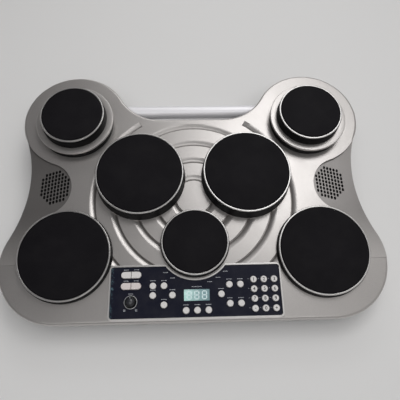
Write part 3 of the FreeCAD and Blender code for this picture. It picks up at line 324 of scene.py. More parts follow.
# Pad shells and cymbal risers: the black cups that lift the pads off the deck.
# They are moulded in black plastic with a soft gloss, fine wiping scratches and a little dust.
scratch_group, given, result = shader_group(
    "fine_scratches",
    {"Length": ("Float", 0.02), "Width": ("Float", 0.0002), "Share": ("Float", 0.1)},
    {"Mask": "Float"},
)
where = kit_place(scratch_group)
along = math_node(scratch_group, "DIVIDE", 1.0, given["Length"])
across = math_node(scratch_group, "DIVIDE", 1.0, given["Width"])
stretch = add(scratch_group, "ShaderNodeCombineXYZ", {"X": along, "Y": across, "Z": across}).outputs[0]
hair_level = 0.82
hair_sharpness = 12.0
level = math_node(scratch_group, "SUBTRACT", hair_level, given["Share"])
hair_turns = (0.5, 1.9, 2.6)
hairs = []
for turn in hair_turns:
    swing = {"Vector": where, "Angle": turn}
    turned = add(scratch_group, "ShaderNodeVectorRotate", swing, rotation_type="Z_AXIS").outputs[0]
    drawn = add(scratch_group, "ShaderNodeVectorMath", {0: turned, 1: stretch}, operation="MULTIPLY")
    line = add(scratch_group, "ShaderNodeTexNoise", {
        "Vector": drawn.outputs[0], "Scale": 1.0, "Detail": 1.0})
    over = math_node(scratch_group, "SUBTRACT", line.outputs["Fac"], level)
    sharp = math_node(scratch_group, "MULTIPLY", over, hair_sharpness)
    hairs.append(add(scratch_group, "ShaderNodeClamp", {"Value": sharp}).outputs[0])
both = math_node(scratch_group, "MAXIMUM", hairs[0], hairs[1])
scratch_group.links.new(math_node(scratch_group, "MAXIMUM", both, hairs[2]), result["Mask"])

shell_colour = (0.0055, 0.0053, 0.006, 1)
shell_black, tree, shader = surface("shell_black", specular_ior_level=0.08)
where = kit_place(tree)
hair = placed(tree, scratch_group, {"Length": 0.02, "Width": 0.00025, "Share": 0.12}).outputs["Mask"]
overlaid = scaled(tree, hair, times=0.12, plus=0.5)
dusted(tree, shader, {
    "Color": shell_colour, "Roughness": overlaid, "Amount": 0.012, "Patch Size": 0.02})
bump(tree, shader, noise(tree, where, size=0.004, detail=2.0), strength=0.04, distance=0.0001)
dress(shell_black, "pad_shells", "cymbal_risers")

# Pad rims: a bright silver ring round each pad, pressed over the shell's edge to hold the rubber.
# The ring is plated plastic, turned with a round outer edge, and rubbed a little by sticks.
deck_turn = Vector((0, 0, 1)).rotation_difference(deck_normal).to_matrix()


def geometry_tree(name, inputs):
    """An empty tree for shapes, with those named inputs: the tree, and its own sockets on both sides."""
    tree = bpy.data.node_groups.new(name, "GeometryNodeTree")
    tree.interface.new_socket("Geometry", in_out="INPUT", socket_type="NodeSocketGeometry")
    for label, kind in inputs.items():
        tree.interface.new_socket(label, in_out="INPUT", socket_type="NodeSocket" + kind)
    tree.interface.new_socket("Geometry", in_out="OUTPUT", socket_type="NodeSocketGeometry")
    return tree, tree.nodes.new("NodeGroupInput").outputs, tree.nodes.new("NodeGroupOutput").inputs


def end_tree(tree, given, result, shape):
    """Ends a tree: real faces, in the material that the piece is given."""
    real = add(tree, "GeometryNodeRealizeInstances", {"Geometry": shape})
    painted = add(tree, "GeometryNodeSetMaterial", {
        "Geometry": real.outputs["Geometry"], "Material": given["Material"]})
    tree.links.new(painted.outputs["Geometry"], result["Geometry"])


def grow(name, tree, points, place, values, attributes=None):
    start = bpy.data.meshes.new(name + "_points")
    start.from_pydata(points, [], [])
    for label, (kind, field, numbers) in (attributes or {}).items():
        layer = start.attributes.new(label, kind, "POINT")
        layer.data.foreach_set(field, numbers)
    piece = bpy.data.objects.new(name, start)
    bpy.context.scene.collection.objects.link(piece)
    maker = piece.modifiers.new("maker", "NODES")
    maker.node_group = tree
    for item in tree.interface.items_tree:
        if item.in_out == "INPUT" and item.name in values:
            maker[item.identifier] = values[item.name]
    graph = bpy.context.evaluated_depsgraph_get()
    mesh = bpy.data.meshes.new_from_object(piece.evaluated_get(graph))
    piece.modifiers.remove(maker)
    mesh.transform(place)
    faces = bmesh.new()
    faces.from_mesh(mesh)
    bmesh.ops.recalc_face_normals(faces, faces=faces.faces)
    faces.to_mesh(mesh)
    faces.free()
    mesh.name = name
    piece.data = mesh
    return piece


# a shape turned about its axis from a half outline of points (reach, 0, height)
weld_reach = 1e-6
turning_tree, given, result = geometry_tree("turned_piece", {"Segments": "Int", "Material": "Material"})
outline = given["Geometry"]
counted = add(turning_tree, "GeometryNodeAttributeDomainSize", {"Geometry": outline})
count = counted.outputs["Point Count"]
around = math_node(turning_tree, "ADD", given["Segments"], 1.0)
sheet = add(turning_tree, "GeometryNodeMeshGrid", {"Vertices X": around, "Vertices Y": count})
index = add(turning_tree, "GeometryNodeInputIndex").outputs["Index"]
row = math_node(turning_tree, "MODULO", index, count)
column = math_node(turning_tree, "FLOOR", math_node(turning_tree, "DIVIDE", index, count))
spot = add(turning_tree, "GeometryNodeSampleIndex", {
    "Geometry": outline,
    "Value": add(turning_tree, "GeometryNodeInputPosition").outputs["Position"],
    "Index": row,
}, data_type="FLOAT_VECTOR").outputs["Value"]
whole_turns = math_node(turning_tree, "DIVIDE", column, given["Segments"])
angle = math_node(turning_tree, "MULTIPLY", whole_turns, math.tau)
swung = add(turning_tree, "ShaderNodeVectorRotate", {
    "Vector": spot, "Angle": angle}, rotation_type="Z_AXIS")
wrapped = add(turning_tree, "GeometryNodeSetPosition", {
    "Geometry": sheet.outputs["Mesh"], "Position": swung.outputs[0]})
reach = add(turning_tree, "ShaderNodeSeparateXYZ", {0: spot}).outputs["X"]
marked = add(turning_tree, "GeometryNodeStoreNamedAttribute", {
    "Geometry": wrapped.outputs["Geometry"], "Name": "reach", "Value": reach}, data_type="FLOAT")
closed = add(turning_tree, "GeometryNodeMergeByDistance", {
    "Geometry": marked.outputs["Geometry"], "Distance": weld_reach})
smooth = add(turning_tree, "GeometryNodeSetShadeSmooth", {"Geometry": closed.outputs["Geometry"]})
end_tree(turning_tree, given, result, smooth.outputs["Geometry"])


def roughened(tree, shader, value, times, plus):
    """Sets a surface's roughness to the value times one number, plus another."""
    tree.links.new(scaled(tree, value, times, plus), shader.inputs["Roughness"])


rim_silver = (0.66, 0.645, 0.635, 1)
rim_worn = (0.50, 0.485, 0.47, 1)
rim_wear = 0.5
rim_finish, tree, shader = surface("rim_finish", metallic=0.9)
where = kit_place(tree)
rub = step_between(tree, noise(tree, where, size=0.014, detail=5.0), low=0.5, high=0.8)
worn = math_node(tree, "MULTIPLY", rub, rim_wear)
tinted(tree, shader, worn, rim_silver, rim_worn)
roughened(tree, shader, rub, times=0.1, plus=0.30)

round_segments = 160
skin_names = sorted(n for n in nodes if n.endswith("_pad_skin"))


def pad_axis(name):
    """The middle of a pad's rubber, its radius and half its thickness."""
    low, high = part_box(name)
    radius = (high.x - low.x) / 2
    slant = math.sin(deck_normal.angle(Vector((0, 0, 1))))
    return (low + high) / 2, radius, (high.z - low.z - 2 * radius * slant) / 2


def quarter(reach, height, radius, start, steps=6):
    """Points of a quarter round about (reach, height), from that angle on."""
    points = []
    for step in range(steps + 1):
        lean = start + math.pi / 2 * step / steps
        points.append((reach + radius * math.cos(lean), 0, height + radius * math.sin(lean)))
    return points


rim_gap = 0.0003
rim_width = 0.0028
rim_height = 0.003
rim_drop = 0.0016
rim_round = 0.001
rim_soft = 0.0004
for name in skin_names:
    middle, radius, half = pad_axis(name)
    inner = radius + rim_gap
    outer = radius + rim_width
    outline = [(inner, 0, -rim_height), (outer, 0, -rim_height)]
    outline += quarter(outer - rim_round, -rim_round, rim_round, 0.0)
    outline += quarter(inner + rim_soft, -rim_soft, rim_soft, math.pi / 2, steps=3)
    outline.append(outline[0])
    place = Matrix.Translation(middle + deck_normal * (half - rim_drop)) @ deck_turn.to_4x4()
    rim = grow(name.replace("_pad_skin", "_pad_rim"), turning_tree, outline, place, {
        "Segments": round_segments, "Material": rim_finish})
    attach(rim, "kit")
    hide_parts("pad_rims")

# Cymbal plates: a silver disc under each rear pad, lying on its black riser.
# They are sprayed as the deck is, and have a soft upper edge.
plate_radius = 0.0627
plate_thick = 0.0036
plate_round = 0.0011
plate_soft = 0.0005
plate_hole = 0.006
plate_drop = 0.0195
for name in ("left_cymbal_pad_skin", "right_cymbal_pad_skin"):
    middle, radius, half = pad_axis(name)
    outline = [(plate_hole, 0, -plate_thick)]
    low_edge = plate_radius - plate_soft
    outline += quarter(low_edge, plate_soft - plate_thick, plate_soft, -math.pi / 2, steps=3)
    outline += quarter(plate_radius - plate_round, -plate_round, plate_round, 0.0)
    outline += [(plate_hole, 0, 0), (plate_hole, 0, -plate_thick)]
    place = Matrix.Translation(middle + deck_normal * (half - plate_drop)) @ deck_turn.to_4x4()
    plate = grow(name.replace("_pad_skin", "_plate"), turning_tree, outline, place, {
        "Segments": round_segments, "Material": silver_paint})
    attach(plate, "kit")
    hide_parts("cymbal_plates")

# Pad skins: seven thick rubber discs, moulded with a soft edge and a very slight crown.
# The black rubber is stippled all over, and worn a little smoother and greyer where sticks land.
rubber_black = (0.0036, 0.0030, 0.0044, 1)
rubber_grey = (0.0064, 0.0055, 0.0076, 1)
struck_share = 0.3
smear_share = 0.25
pad_rubber, tree, shader = surface("pad_rubber", specular_ior_level=0.18)
where = kit_place(tree)
reach = add(tree, "ShaderNodeAttribute", attribute_name="reach").outputs["Fac"]
struck = math_node(tree, "SUBTRACT", 1.0, step_between(tree, reach, low=0.012, high=0.058))
smear = step_between(tree, noise(tree, where, size=0.035, detail=6.0, roughness=0.6), low=0.35, high=0.8)
smeared = math_node(tree, "MULTIPLY", smear, smear_share)
worn = math_node(tree, "MULTIPLY_ADD", struck, struck_share, smeared)
dusted(tree, shader, {
    "Color": blend_colours(tree, worn, rubber_black, rubber_grey),
    "Roughness": scaled(tree, worn, times=-0.06, plus=0.72),
    "Amount": 0.006,
    "Patch Size": 0.03,
})
stipples_per_metre = 900.0
stipple = add(tree, "ShaderNodeTexVoronoi", {
    "Vector": where, "Scale": stipples_per_metre}, feature="SMOOTH_F1")
bump(tree, shader, stipple.outputs["Distance"], strength=0.35, distance=0.0002)

skin_crown = 0.0006
skin_edge = 0.0022
skin_foot = 0.0008
crown_steps = 10
for name in skin_names:
    middle, radius, half = pad_axis(name)
    inner = radius - skin_edge
    outline = [(0, 0, -half), (radius - skin_foot, 0, -half), (radius, 0, skin_foot - half)]
    outline += quarter(inner, half - skin_crown - skin_edge, skin_edge, 0.0)
    for step in range(1, crown_steps + 1):
        share = 1 - step / crown_steps
        outline.append((inner * share, 0, half - skin_crown * share ** 2))
    place = Matrix.Translation(middle) @ deck_turn.to_4x4()
    skin = grow(name.replace("_pad_skin", "_pad_rubber"), turning_tree, outline, place, {
        "Segments": round_segments, "Material": pad_rubber})
    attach(skin, "kit")
    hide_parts(name)

# Sensor plates and sensors: a steel plate under each rubber, with a brass disc stuck below it.
# They are inside the pads, in plain rolled steel and brushed brass.
steel_pale = (0.56, 0.56, 0.57, 1)
steel_dark = (0.42, 0.42, 0.43, 1)
rolled_steel, tree, shader = surface("rolled_steel", metallic=1.0)
grain = mottled(tree, shader, steel_dark, steel_pale, size=0.003, detail=5.0, roughness=0.7)
roughened(tree, shader, grain, times=0.2, plus=0.3)
dress(rolled_steel, "sensor_plates", "housing_screws")

brass_pale = (0.76, 0.58, 0.27, 1)
brass_dark = (0.60, 0.43, 0.18, 1)
sheet_brass, tree, shader = surface("sheet_brass", metallic=1.0)
grain = mottled(tree, shader, brass_dark, brass_pale, size=0.004, detail=5.0, roughness=0.7)
roughened(tree, shader, grain, times=0.15, plus=0.28)
dress(sheet_brass, "piezo_sensors")

# Control fascia: a dark navy plate laid in the lip of the deck, printed and lacquered to a soft gloss.
# A few pale scuffs have gathered at its left end, where it is gripped.
navy = (0.0076, 0.0086, 0.0190, 1)
navy_scuffed = (0.09, 0.16, 0.19, 1)
fascia_finish, tree, shader = surface("fascia_finish", specular_ior_level=0.2)
where = kit_place(tree)
left_end = add(tree, "ShaderNodeSeparateXYZ", {0: where}).outputs["X"]
fascia_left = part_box("control_fascia")[0].x
grip_reach = 0.014
grip_edge = 0.002
gripped = step_between(tree, left_end, fascia_left + grip_reach, fascia_left + grip_edge)
chips = math_node(tree, "MULTIPLY", noise(tree, where, size=0.0035, detail=6.0, roughness=0.75), gripped)
marks = step_between(tree, chips, low=0.50, high=0.60)
wiped = placed(tree, scratch_group, {"Length": 0.03, "Width": 0.0003, "Share": 0.12}).outputs["Mask"]
dusted(tree, shader, {
    "Color": blend_colours(tree, marks, navy, navy_scuffed),
    "Roughness": scaled(tree, wiped, times=0.1, plus=0.26),
    "Amount": 0.02,
    "Patch Size": 0.02,
})
bump(tree, shader, noise(tree, where, size=0.0006, detail=2.0), strength=0.04, distance=0.0001)
dress(fascia_finish, "control_fascia")

# Push keys: twenty-nine caps that stand out of holes in the fascia and press on switches below.
# They are moulded in off-white plastic with a fine spark-eroded grain, a little soiled in small patches.
grain_group, given, result = shader_group("moulded_grain", {
    "Grain Size": ("Float", 0.0005)}, {"Height": "Float"})
where = kit_place(grain_group)
fineness = math_node(grain_group, "DIVIDE", 1.0, given["Grain Size"])
pits = add(grain_group, "ShaderNodeTexVoronoi", {
    "Vector": where, "Scale": fineness}, feature="SMOOTH_F1")
cloud = add(grain_group, "ShaderNodeTexNoise", {"Vector": where, "Scale": fineness, "Detail": 3.0})
cloud_share = 0.6
pitted = pits.outputs["Distance"]
raised = math_node(grain_group, "MULTIPLY_ADD", cloud.outputs["Fac"], cloud_share, pitted)
grain_group.links.new(raised, result["Height"])


def key_finish(name, clean, darkened):
    """Key plastic in that colour, soiled in small patches."""
    material, tree, shader = surface(name, roughness=0.42, specular_ior_level=0.45)
    where = kit_place(tree)
    cloud = noise(tree, where, size=0.0012, detail=5.0, roughness=0.65)
    soil = step_between(tree, cloud, low=0.5, high=0.85)
    tinted(tree, shader, soil, clean, darkened)
    height = placed(tree, grain_group, {"Grain Size": 0.0004}).outputs["Height"]
    bump(tree, shader, height, strength=0.12, distance=0.00005)
    return material


key_white = key_finish("key_white", (0.72, 0.70, 0.69, 1), (0.58, 0.56, 0.54, 1))
key_pink = key_finish("key_pink", (0.72, 0.65, 0.635, 1), (0.58, 0.52, 0.50, 1))
pink_keys = ("tempo_key_down", "tempo_key_up")
all_keys = sorted(body for body in frame["bodies"] if "key" in body)
dress(key_white, *(key for key in all_keys if key not in pink_keys))
dress(key_pink, *pink_keys)

# Keypad numerals: plain figures printed in dark ink on the caps of the number pad.
# Each is a thin film on its own key, and moves with it.
ink_dark = (0.025, 0.025, 0.028, 1)
ink_worn = (0.08, 0.078, 0.076, 1)
key_ink, tree, shader = surface("key_ink", roughness=0.5)
where = kit_place(tree)
thin = step_between(tree, noise(tree, where, size=0.0008, detail=3.0), low=0.5, high=0.8)
tinted(tree, shader, thin, ink_dark, ink_worn)

figure_height = 0.0068
figure_bold = 0.00012
film_thick = 0.00004


def top_of(name):
    """The middle of a piece's highest face across the deck's slope."""
    upright = [deck_turn.inverted() @ v.co for v in nodes[name].data.vertices]
    level = max(p.z for p in upright)
    face = [p for p in upright if p.z > level - film_thick]
    middle_x = (min(p.x for p in face) + max(p.x for p in face)) / 2
    middle_y = (min(p.y for p in face) + max(p.y for p in face)) / 2
    return deck_turn @ Vector((middle_x, middle_y, level))


figures = {"keypad_minus": "-", "keypad_plus": "+"}
figures.update({"keypad_%d" % n: str(n) for n in range(10)})
for key, figure in figures.items():
    text = bpy.data.curves.new(key + "_figure", "FONT")
    text.body = figure
    text.align_x = "CENTER"
    text.size = figure_height
    text.extrude = film_thick
    text.offset = figure_bold
    flat = bpy.data.objects.new(key + "_flat", text)
    bpy.context.scene.collection.objects.link(flat)
    mesh = bpy.data.meshes.new_from_object(flat.evaluated_get(bpy.context.evaluated_depsgraph_get()))
    bpy.data.objects.remove(flat)
    lows = [min(v.co[axis] for v in mesh.vertices) for axis in range(3)]
    highs = [max(v.co[axis] for v in mesh.vertices) for axis in range(3)]
    middle = Vector([(a + b) / 2 for a, b in zip(lows, highs)])
    mesh.transform(Matrix.Translation(top_of(key)) @ deck_turn.to_4x4() @ Matrix.Translation(-middle))
    mesh.materials.clear()
    mesh.materials.append(key_ink)
    printed = bpy.data.objects.new(key + "_numeral", mesh)
    bpy.context.scene.collection.objects.link(printed)
    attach(printed, key)

# Fascia print: short pale dashes that stand where the panel is labelled, with no words in them.
# They are screen printed on the plate in thin white ink.
print_white = (0.56, 0.58, 0.62, 1)
print_worn = (0.16, 0.165, 0.185, 1)
panel_ink, tree, shader = surface("panel_ink", roughness=0.5)
where = kit_place(tree)
thin = step_between(tree, noise(tree, where, size=0.001, detail=4.0), low=0.45, high=0.7)
tinted(tree, shader, thin, print_white, print_worn)


def marks_tree(name, kind, shape):
    """A tree that sets one flat shape on each point, sized and turned as the point says."""
    tree, given, result = geometry_tree(name, {"Material": "Material"})
    stamp = add(tree, kind, shape)
    size = add(tree, "GeometryNodeInputNamedAttribute", {"Name": "mark_size"}, data_type="FLOAT_VECTOR")
    turn = add(tree, "GeometryNodeInputNamedAttribute", {"Name": "mark_turn"}, data_type="FLOAT_VECTOR")
    stamped = add(tree, "GeometryNodeInstanceOnPoints", {
        "Points": given["Geometry"],
        "Instance": stamp.outputs["Mesh"],
        "Scale": size.outputs["Attribute"],
        "Rotation": turn.outputs["Attribute"],
    })
    end_tree(tree, given, result, stamped.outputs["Instances"])
    return tree


def stamp_marks(name, tree, marks, place, material, body="kit", height=2 * film_thick):
    """One mesh of marks, each given as (x, y, length, width, turn) on the plane of its place."""
    points = [(x, y, 0) for x, y, length, width, turn in marks]
    sizes = [n for x, y, length, width, turn in marks for n in (length, width, height)]
    turns = [n for x, y, length, width, turn in marks for n in (0, 0, turn)]
    piece = grow(name, tree, points, place, {"Material": material}, {
        "mark_size": ("FLOAT_VECTOR", "vector", sizes),
        "mark_turn": ("FLOAT_VECTOR", "vector", turns),
    })
    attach(piece, body)
    return piece


dash_tree = marks_tree("printed_dashes", "GeometryNodeMeshCube", {"Size": (1, 1, 1)})
plate_top = top_of("control_fascia")
plate_place = Matrix.Translation(plate_top) @ deck_turn.to_4x4()


def on_plate(point):
    local = plate_place.inverted() @ point
    return local.x, local.y


dash_height = 0.0009
dash_gap = 0.0005
dash_lengths = (0.0015, 0.0008, 0.0011, 0.0019, 0.0007, 0.0013, 0.0009)


def label(x, y, count):
    """A row of dashes of uneven length, centred on that place."""
    lengths = [dash_lengths[n % len(dash_lengths)] for n in range(count)]
    left = x - (sum(lengths) + dash_gap * (count - 1)) / 2
    row = []
    for length in lengths:
        row.append((left + length / 2, y, length, dash_height, 0.0))
        left += length + dash_gap
    return row


label_rise = 0.0078
dashes = []
for key in all_keys:
    x, y = on_plate(top_of(key))
    if key.startswith("keypad"):
        dashes.append((x - label_rise, y + dash_height, 2 * dash_height, 0.4 * dash_height, 0.0))
    elif key.startswith(("mode", "rhythm", "sound")):
        dashes += label(x, y + label_rise, count=5)
    else:
        dashes += label(x, y + label_rise, count=4)
display_x, display_y = on_plate(top_of("display_window"))
title_rise = 0.0118
dashes += label(display_x, display_y + title_rise, count=9)
knob_x, knob_y = on_plate(top_of("volume_knob"))
dashes += label(knob_x, knob_y + title_rise, count=4)
scale_reach = 0.0084
scale_drops = (0.0106, 0.0122)
for side in (-1, 1):
    for drop in scale_drops:
        dashes += label(knob_x + side * scale_reach, knob_y - drop, count=2)
centre_x, centre_y = on_plate((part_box("centre_pad_skin")[0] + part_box("centre_pad_skin")[1]) / 2)
name_reach = 0.0625
name_leans = (-45, -33, 19, 32, 45)
for lean in name_leans:
    angle = math.radians(lean)
    name_x = centre_x + name_reach * math.sin(angle)
    name_y = centre_y - name_reach * math.cos(angle)
    dashes += label(name_x, name_y, count=4)
stamp_marks("panel_print", dash_tree, dashes, plate_place, panel_ink)

# Display: a lit module under a clear window, showing three figures made of pale segments.
# Its blue-green ground glows faintly, with a painted glow that is pale at the left end and fades darker
# to the right. The window is hard and clear.
display_painted_glow = (0.50, 0.74, 0.70, 1)
display_dim = (0.16, 0.29, 0.31, 1)
display_glow, tree, shader = surface("display_glow", roughness=0.6, emission_strength=0.25)
where = kit_place(tree)
along = add(tree, "ShaderNodeSeparateXYZ", {0: where}).outputs["X"]
module_low, module_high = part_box("display_module")
glow_ripple = 0.012
glow_start_width = 0.004
# painted glow: the colour and emission fade from pale at the left end to dim at the right
spread = scaled(tree, noise(tree, where, size=0.008, detail=2.0), times=glow_ripple, plus=along)
fade = step_between(tree, spread, module_low.x + glow_start_width, module_high.x)
light = blend_colours(tree, fade, display_painted_glow, display_dim)
tree.links.new(light, shader.inputs["Base Color"])
tree.links.new(light, shader.inputs["Emission Color"])
dress(display_glow, "display_module")

window_tint = (0.75, 0.85, 0.86, 1)
window_clear, tree, shader = surface("window_clear", base_color=window_tint, specular_ior_level=0.5)
hair = placed(tree, scratch_group, {"Length": 0.01, "Width": 0.0002, "Share": 0.1}).outputs["Mask"]
roughened(tree, shader, hair, times=0.2, plus=0.06)
tree.links.new(scaled(tree, hair, times=0.08, plus=0.10), shader.inputs["Alpha"])
dress(window_clear, "display_window")

segment_dark = (0.62, 0.76, 0.77, 1)
segment_pale = (0.74, 0.86, 0.86, 1)
segment_ink, tree, shader = surface("segment_ink", roughness=0.5, emission_strength=0.15)
where = kit_place(tree)
ink = blend_colours(tree, noise(tree, where, size=0.002), segment_dark, segment_pale)
tree.links.new(ink, shader.inputs["Base Color"])
tree.links.new(ink, shader.inputs["Emission Color"])
digit_pitch = 0.0112
digit_wide = 0.0060
digit_tall = 0.0112
segment_width = 0.0018
hexagon = {"Vertices": 6, "Radius": 0.5, "Depth": 1.0}
segment_tree = marks_tree("display_segments", "GeometryNodeMeshCylinder", hexagon)
segments = []
for digit in (-1, 0, 1):
    x = digit * digit_pitch
    for row in (-1, 0, 1):
        segments.append((x, row * digit_tall / 2, digit_wide, segment_width, 0.0))
    for side in (-1, 1):
        for row in (-1, 1):
            stroke_x = x + side * digit_wide / 2
            upright = (stroke_x, row * digit_tall / 4, digit_tall / 2, segment_width, math.pi / 2)
            segments.append(upright)
module_place = Matrix.Translation(top_of("display_module")) @ deck_turn.to_4x4()
display_segments = stamp_marks("display_segments", segment_tree, segments, module_place, segment_ink)

# Volume knob: a black turned cap on a shaft, standing in a round well of the fascia.
# Its side is ribbed for grip, and a short pale line at the edge shows where it points.
# A thin silver ring is let in round the well; its pale colour is partly a painted highlight, for the
# light caught by the well's edge.
knob_dark = (0.005, 0.0055, 0.007, 1)
knob_rubbed = (0.018, 0.020, 0.026, 1)
knob_black, tree, shader = surface("knob_black", coat_weight=0.25, coat_roughness=0.2)
where = kit_place(tree)
rub = step_between(tree, noise(tree, where, size=0.004, detail=4.0), low=0.4, high=0.8)
tinted(tree, shader, rub, knob_dark, knob_rubbed)
roughened(tree, shader, rub, times=0.12, plus=0.32)
height = placed(tree, grain_group, {"Grain Size": 0.0005}).outputs["Height"]
bump(tree, shader, height, strength=0.1, distance=0.00005)
dress(knob_black, "volume_knob")

knob_place = Matrix.Translation(top_of("volume_knob")) @ deck_turn.to_4x4()
rib_count = 26
rib_reach = 0.0070
rib_tall = 0.0085
rib_drop = 0.0056
rib_wide = 0.0011
rib_round = {"Vertices": 10, "Radius": 0.5, "Depth": 1.0}
rib_tree = marks_tree("knob_ribs", "GeometryNodeMeshCylinder", rib_round)
ribs = []
for n in range(rib_count):
    angle = math.tau * n / rib_count
    ribs.append((rib_reach * math.cos(angle), rib_reach * math.sin(angle), rib_wide, rib_wide, angle))
knob_side = knob_place @ Matrix.Translation((0, 0, -rib_drop))
knob_ribs = stamp_marks("knob_ribs", rib_tree, ribs, knob_side, knob_black, "volume_knob", rib_tall)
# painted highlight: the ring is coloured pale to show light caught at the well's edge
ring_highlight = (0.78, 0.78, 0.79, 1)
ring_dull = (0.50, 0.50, 0.51, 1)
ring_silver, tree, shader = surface("ring_silver", metallic=0.6, roughness=0.3)
where = kit_place(tree)
wear = step_between(tree, noise(tree, where, size=0.006, detail=3.0), low=0.4, high=0.7)
tinted(tree, shader, wear, ring_highlight, ring_dull)
well_inner = 0.0088
well_outer = 0.0096
well_rise = 0.0005
well_round = 0.0002
outline = [(well_inner, 0, 0), (well_outer, 0, 0)]
outline += quarter(well_outer - well_round, well_rise - well_round, well_round, 0.0, steps=3)
outline += quarter(well_inner + well_round, well_rise - well_round, well_round, math.pi / 2, steps=3)
outline.append(outline[0])
well_place = plate_place @ Matrix.Translation((knob_x, knob_y, 0))
well_segments = 64
well_ring = grow("knob_well_ring", turning_tree, outline, well_place, {
    "Segments": well_segments, "Material": ring_silver})
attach(well_ring, "kit")
pointer_reach = 0.0057
pointer_width = 0.0008
pointer_length = 0.0016
pointer = [(0, pointer_reach, pointer_width, pointer_length, 0.0)]
stamp_marks("knob_pointer", dash_tree, pointer, knob_place, panel_ink, "volume_knob")

# a domed gloss cap is let into the top of the knob
cap_dark = (0.010, 0.011, 0.014, 1)
cap_pale = (0.028, 0.030, 0.038, 1)
cap_gloss, tree, shader = surface("cap_gloss", specular_ior_level=1.0)
smear = mottled(tree, shader, cap_dark, cap_pale, size=0.003, detail=4.0)
roughened(tree, shader, smear, times=0.15, plus=0.22)
cap_reach = 0.0045
cap_rise = 0.0012
cap_sunk = 0.0005
cap_steps = 8
cap_segments = 48
outline = [(0, 0, -cap_sunk), (cap_reach, 0, -cap_sunk)]
for step in range(cap_steps + 1):
    share = 1 - step / cap_steps
    outline.append((cap_reach * share, 0, cap_rise * (1 - share ** 2)))
knob_cap = grow("knob_cap", turning_tree, outline, knob_place, {
    "Segments": cap_segments, "Material": cap_gloss})
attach(knob_cap, "volume_knob")

# Volume control: the rotary part below the board that the knob's shaft turns in.
# It is a grey moulding with a pressed steel cover.
control_dark = (0.16, 0.16, 0.165, 1)
control_pale = (0.26, 0.26, 0.26, 1)
control_grey, tree, shader = surface("control_grey", roughness=0.45, metallic=0.3)
mottled(tree, shader, control_dark, control_pale, size=0.003, detail=4.0)
dress(control_grey, "volume_control")

# Control board: the circuit board with the key switches, screwed under the fascia.
# It is glass cloth in green resist, with the weave faintly showing.
board_green = (0.03, 0.16, 0.08, 1)
board_pale = (0.06, 0.24, 0.13, 1)
circuit_board, tree, shader = surface("circuit_board", roughness=0.35)
where = kit_place(tree)
threads_per_metre = 1200.0
weave_share = 0.3
weave = add(tree, "ShaderNodeTexChecker", {"Vector": where, "Scale": threads_per_metre}).outputs["Fac"]
stain = noise(tree, where, size=0.01, detail=4.0)
shade = math_node(tree, "MULTIPLY_ADD", weave, weave_share, stain)
tinted(tree, shader, shade, board_green, board_pale)
dress(circuit_board, "control_board")

# Carry handle: a straight tube across the rear valley, its ends set in sockets of the two lobes.
# It is drawn aluminium with a satin finish, brushed along its length.
brush_group, given, result = shader_group(
    "brushed_lines", {"Length": ("Float", 0.05), "Width": ("Float", 0.0003)}, {"Mask": "Float"})
where = kit_place(brush_group)
along = math_node(brush_group, "DIVIDE", 1.0, given["Length"])
across = math_node(brush_group, "DIVIDE", 1.0, given["Width"])
stretch = add(brush_group, "ShaderNodeCombineXYZ", {"X": along, "Y": across, "Z": across}).outputs[0]
drawn = add(brush_group, "ShaderNodeVectorMath", {0: where, 1: stretch}, operation="MULTIPLY").outputs[0]
lines = add(brush_group, "ShaderNodeTexNoise", {"Vector": drawn, "Scale": 1.0, "Detail": 3.0})
brush_group.links.new(lines.outputs["Fac"], result["Mask"])

tube_pale = (0.94, 0.93, 0.96, 1)
tube_dark = (0.88, 0.87, 0.90, 1)
satin_tube, tree, shader = surface("satin_tube", metallic=0.3)
lines = placed(tree, brush_group, {"Length": 0.06, "Width": 0.0004}).outputs["Mask"]
tinted(tree, shader, lines, tube_dark, tube_pale)
roughened(tree, shader, lines, times=0.1, plus=0.32)
dress(satin_tube, "carry_handle")

# Both are moulded in dark grey plastic with a coarse spark-eroded grain.
tray_dark = (0.032, 0.032, 0.034, 1)
tray_pale = (0.055, 0.055, 0.056, 1)
tray_plastic, tree, shader = surface("tray_plastic", roughness=0.55)
mottled(tree, shader, tray_dark, tray_pale, size=0.006, detail=5.0)
height = placed(tree, grain_group, {"Grain Size": 0.0011}).outputs["Height"]
bump(tree, shader, height, strength=0.35, distance=0.0002)
dress(tray_plastic, "bottom_housing", "battery_door")

# Batteries: six dry cells in the bay under the door, each in a printed sleeve.
# The sleeves are dark with a paler metal band.
cell_dark = (0.05, 0.05, 0.06, 1)
cell_pale = (0.32, 0.30, 0.27, 1)
cell_sleeve, tree, shader = surface("cell_sleeve", roughness=0.32, metallic=0.4)
where = kit_place(tree)
band_pace = 6.3
bands = add(tree, "ShaderNodeTexWave", {
    "Vector": where, "Scale": band_pace, "Distortion": 0.0}, wave_profile="SAW")
printed_band = step_between(tree, bands.outputs["Fac"], low=0.6, high=0.66)
tinted(tree, shader, printed_band, cell_dark, cell_pale)
dress(cell_sleeve, "batteries")

# Rear jacks and power inlet: black sockets in the tray's rear wall, for leads that plug in.
# They are moulded in shiny black nylon.
nylon_dark = (0.018, 0.018, 0.019, 1)
nylon_pale = (0.04, 0.04, 0.041, 1)
socket_nylon, tree, shader = surface("socket_nylon", roughness=0.3)
mottled(tree, shader, nylon_dark, nylon_pale, size=0.002, detail=4.0)
dress(socket_nylon, "rear_jacks", "power_inlet")

